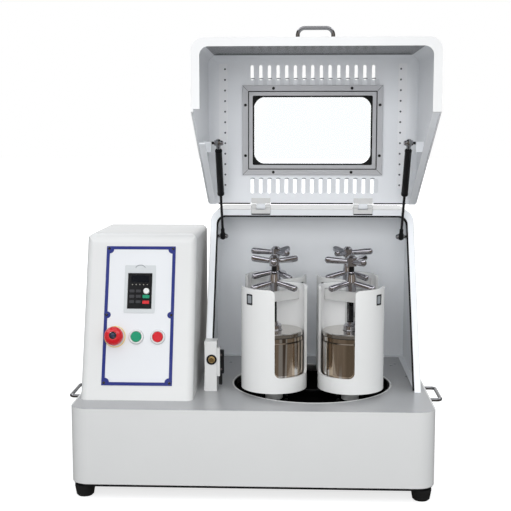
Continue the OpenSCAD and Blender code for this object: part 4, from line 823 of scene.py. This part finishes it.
# ends: a grey arch at the top end of each slot, painted shade.
folds, ends = Piece(), Piece()
arch = [(5.4 * cos(radians(a)), 2.6 * sin(radians(a))) for a in range(0, 181, 20)]
for row_z in (625.8, 855):
    for k in range(LOUVRES):
        x = MID_X + (k - (LOUVRES - 1) / 2) * LOUVRE_STEP
        folds.plate(rounded_rect(9.4, 33, 4.4, 5), 0.7,
                    facing_front(x + 9.6, 101.9, row_z + 1) @ spin(radians(5), "Y"))
        ends.plate(arch, 0.5, facing_front(x + 1.2, 101.9, row_z + 17.4))
folds.done("louvre_folds", fold_enamel_painted_light_and_shade, "hood", 0.3, slot="white_enamel")
ends.done("louvre_end_shades", grey_seal_and_painted_shade, "hood")

# Hood: the nuts of its handle, the covers and screws of its hinge leaves, black strips below the leaves
# as painted shadow in notches, and a black strip on its lower edge as painted shadow of the gap there.
LEAF_X = 119
handle_nuts = Piece()
for dx in (-35, 35):
    handle_nuts.lathe([(6.2, 0), (6.2, 4.2), (5.4, 5.0), (0, 5.0)],
                      towards((0, 0, -1), (MID_X + dx, -216, 928)), 6)
handle_nuts.done("handle_nuts", gear_steel, "hood")
# lines: a black strip below each hinge leaf, painted shadow in the notch there.
leaf_screws, lines, covers = Piece(), Piece(), Piece()
for x in (MID_X - LEAF_X, MID_X + LEAF_X):
    for dx in (-14, 14):
        leaf_screws.screw(facing_front(x + dx, 99.4, 592), 3.0, 1.2)
    lines.plate(rounded_rect(44, 2.8, 0.4, 2), 0.8, facing_front(x, 98.4, 560.6))
    covers.plate(rounded_rect(44, 13, 0.6, 2), 1.0, facing_front(x, 99.7, 591.9))
leaf_screws.done("hinge_screws", enamel, "hood", 0.12, slot="white_enamel")
# A black strip along the hood's lower edge: painted shadow of the gap between the hood and the chamber's
# roof.
edge = Piece()
for dx, w in ((0, 192), (-181, 74), (181, 74)):
    edge.plate(rounded_rect(w, 2.8, 0.6, 2), 1.4, facing_front(MID_X + dx, 102, 585.6))
edge.done("hood_edge_gap_shadow", black_rubber, "hood", 0.3, slot="black_rubber")
lines.done("hinge_notch_shadows", black_rubber, "base", 0.2)
covers.done("hinge_covers", enamel, "hood", 0.25, slot="white_enamel")

# Interlock: a ring round the plunger, and the black switch beside the block with its gland.
LOCK_X = -108.5
LOCK_Y = -108
SWITCH_X = LOCK_X + 34.5
SWITCH_Z = 252
Piece().lathe([(8.3, 0), (11.2, 0), (11.2, 1.6), (10.0, 2.6), (8.3, 2.6)],
              facing_front(LOCK_X + 15, LOCK_Y, 260), 40).done("plunger_ring", black_metal_and_painted_shade, "base")
Piece().plate(rounded_rect(13, 52, 2), 9, facing_front(SWITCH_X, LOCK_Y + 22, SWITCH_Z)).done(
    "limit_switch", black_plastic, "base", 0.7, slot="keypad_black")
switch_screws = Piece()
for dz in (-16, 16):
    switch_screws.screw(facing_front(SWITCH_X, LOCK_Y + 13, SWITCH_Z + dz), 2.6, 1.3)
switch_screws.done("limit_switch_screws", chrome, "base", 0.1)
Piece().plate(rounded_rect(7, 24, 2), 6, facing_front(SWITCH_X - 1, LOCK_Y + 20, 213)).done(
    "switch_gland", black_rubber, "base", 0.8)


# Studio: a pale floor, a white background and soft lamps.

def rays(tree):
    """1 for rays from the camera, straight or through glass, and 1 for rays off polished metal."""
    path = add_node(tree, "ShaderNodeLightPath", out=None)
    seen = maths(tree, "MAXIMUM", path["Is Camera Ray"], path["Is Transmission Ray"])
    return seen, path["Is Glossy Ray"]


floor_mesh = bpy.data.meshes.new("floor")
floor_mesh.from_pydata([(-12, -8, 0), (12, -8, 0), (12, 30, 0), (-12, 30, 0)], [], [(0, 1, 2, 3)])
floor = bpy.data.objects.new("floor", floor_mesh)
scene.collection.objects.link(floor)
mat, tree, bsdf = new_material("floor_white")
bsdf.inputs["Base Color"].default_value = (0.5, 0.5, 0.5, 1)
bsdf.inputs["Roughness"].default_value = 0.9
bsdf.inputs["Specular IOR Level"].default_value = 0.0
floor_mesh.materials.append(mat)
# The camera sees it fade to white from 0.7 m to 1.6 m out. Other rays see it dim, and metal warm.
seen, glossy = rays(tree)
away = add_node(tree, "ShaderNodeVectorMath", {0: add_node(tree, "ShaderNodeTexCoord", out="Object")},
                "Value", operation="LENGTH")
glow = add_node(tree, "ShaderNodeEmission", {"Strength": span(tree, away, 0.72, 1.0, 0.7, 1.6)})
plain = add_node(tree, "ShaderNodeAddShader", {0: bsdf.outputs[0], 1: glow})
dim = add_node(tree, "ShaderNodeBsdfDiffuse", {"Color": (0.30, 0.30, 0.30, 1)})
warm = add_node(tree, "ShaderNodeEmission", {"Color": (0.16, 0.145, 0.13, 1)})
tree.links.new(mix_shaders(tree, seen, mix_shaders(tree, glossy, dim, warm), plain),
               tree.nodes["Material Output"].inputs["Surface"])

# What polished metal shows. ROOM goes from the front, 0, round to the rear, 1: a warm dim room with a
# bright opening in front and strips of light. HEIGHTS takes over above it, up to straight up, 1.
WHITE, PALE, BLACK = (1.0, 1.0, 1.0), (0.9, 0.88, 0.85), (0.02, 0.02, 0.02)
ROOM = ((0.0, (0.9, 0.9, 0.9)), (0.045, (0.9, 0.9, 0.9)), (0.07, (0.26, 0.21, 0.15)),
        (0.24, (0.20, 0.15, 0.10)), (0.255, PALE), (0.27, PALE), (0.285, (0.22, 0.17, 0.12)),
        (0.54, (0.17, 0.14, 0.11)), (0.56, WHITE), (0.58, WHITE), (0.60, BLACK), (0.76, BLACK),
        (0.84, WHITE), (1.0, WHITE))
HEIGHTS = ((0.0, 0.05), (0.56, 0.05), (0.61, 2.2), (0.78, 2.2), (0.84, 0.1), (1.0, 0.1))
world = bpy.data.worlds.new("studio")
scene.world = world
world.use_nodes = True
tree = world.node_tree
tree.nodes.clear()
seen, glossy = rays(tree)
lit = add_node(tree, "ShaderNodeBackground", {"Color": (0.94, 0.97, 1.0, 1), "Strength": 0.84})
white = add_node(tree, "ShaderNodeBackground", {"Color": (1, 1, 1, 1)})
x, y, z = add_node(tree, "ShaderNodeSeparateXYZ",
                   {0: add_node(tree, "ShaderNodeTexCoord", out="Generated")}, None)
around = maths(tree, "ABSOLUTE", maths(tree, "ARCTAN2", x, maths(tree, "MULTIPLY", y, -1)))
room = ramp(tree, maths(tree, "DIVIDE", around, pi), ROOM)
tall = ramp(tree, z, [(where, (level, level, level * 1.04)) for where, level in HEIGHTS])
shown = add_node(tree, "ShaderNodeBackground",
                 {"Color": mix_colours(tree, span(tree, z, 0.0, 1.0, 0.25, 0.36), room, tall)})
surface = mix_shaders(tree, seen, mix_shaders(tree, glossy, lit, shown), white)
add_node(tree, "ShaderNodeOutputWorld", {"Surface": surface}, None)


def softbox(name, place, aim, size, power, mirrored=False):
    """A rectangular lamp that the camera doesn't see, and that metal shows only when mirrored."""
    data = bpy.data.lights.new(name, "AREA")
    data.shape = "RECTANGLE"
    data.size, data.size_y = size
    data.energy = power
    lamp = bpy.data.objects.new(name, data)
    scene.collection.objects.link(lamp)
    lamp.location = place
    lamp.rotation_euler = (Vector(aim) - Vector(place)).to_track_quat("-Z", "Y").to_euler()
    lamp.visible_camera = False
    lamp.visible_glossy = mirrored


softbox("key", (-0.3, -3.2, 1.15), (0.05, 0, 0.45), (1.8, 1.3), 30.8)
softbox("near", (0.125, -0.75, 0.72), (0.125, 0.2, 0.56), (0.8, 0.5), 1.25)
softbox("fill", (1.6, -2.7, 0.9), (0, 0, 0.4), (1.0, 1.4), 3.4)
softbox("top", (0.0, -0.6, 3.0), (0, 0, 0.3), (2.2, 1.6), 9.5, mirrored=True)
softbox("rear", (0.4, 2.4, 1.9), (0, 0, 0.4), (2.0, 1.0), 8, mirrored=True)
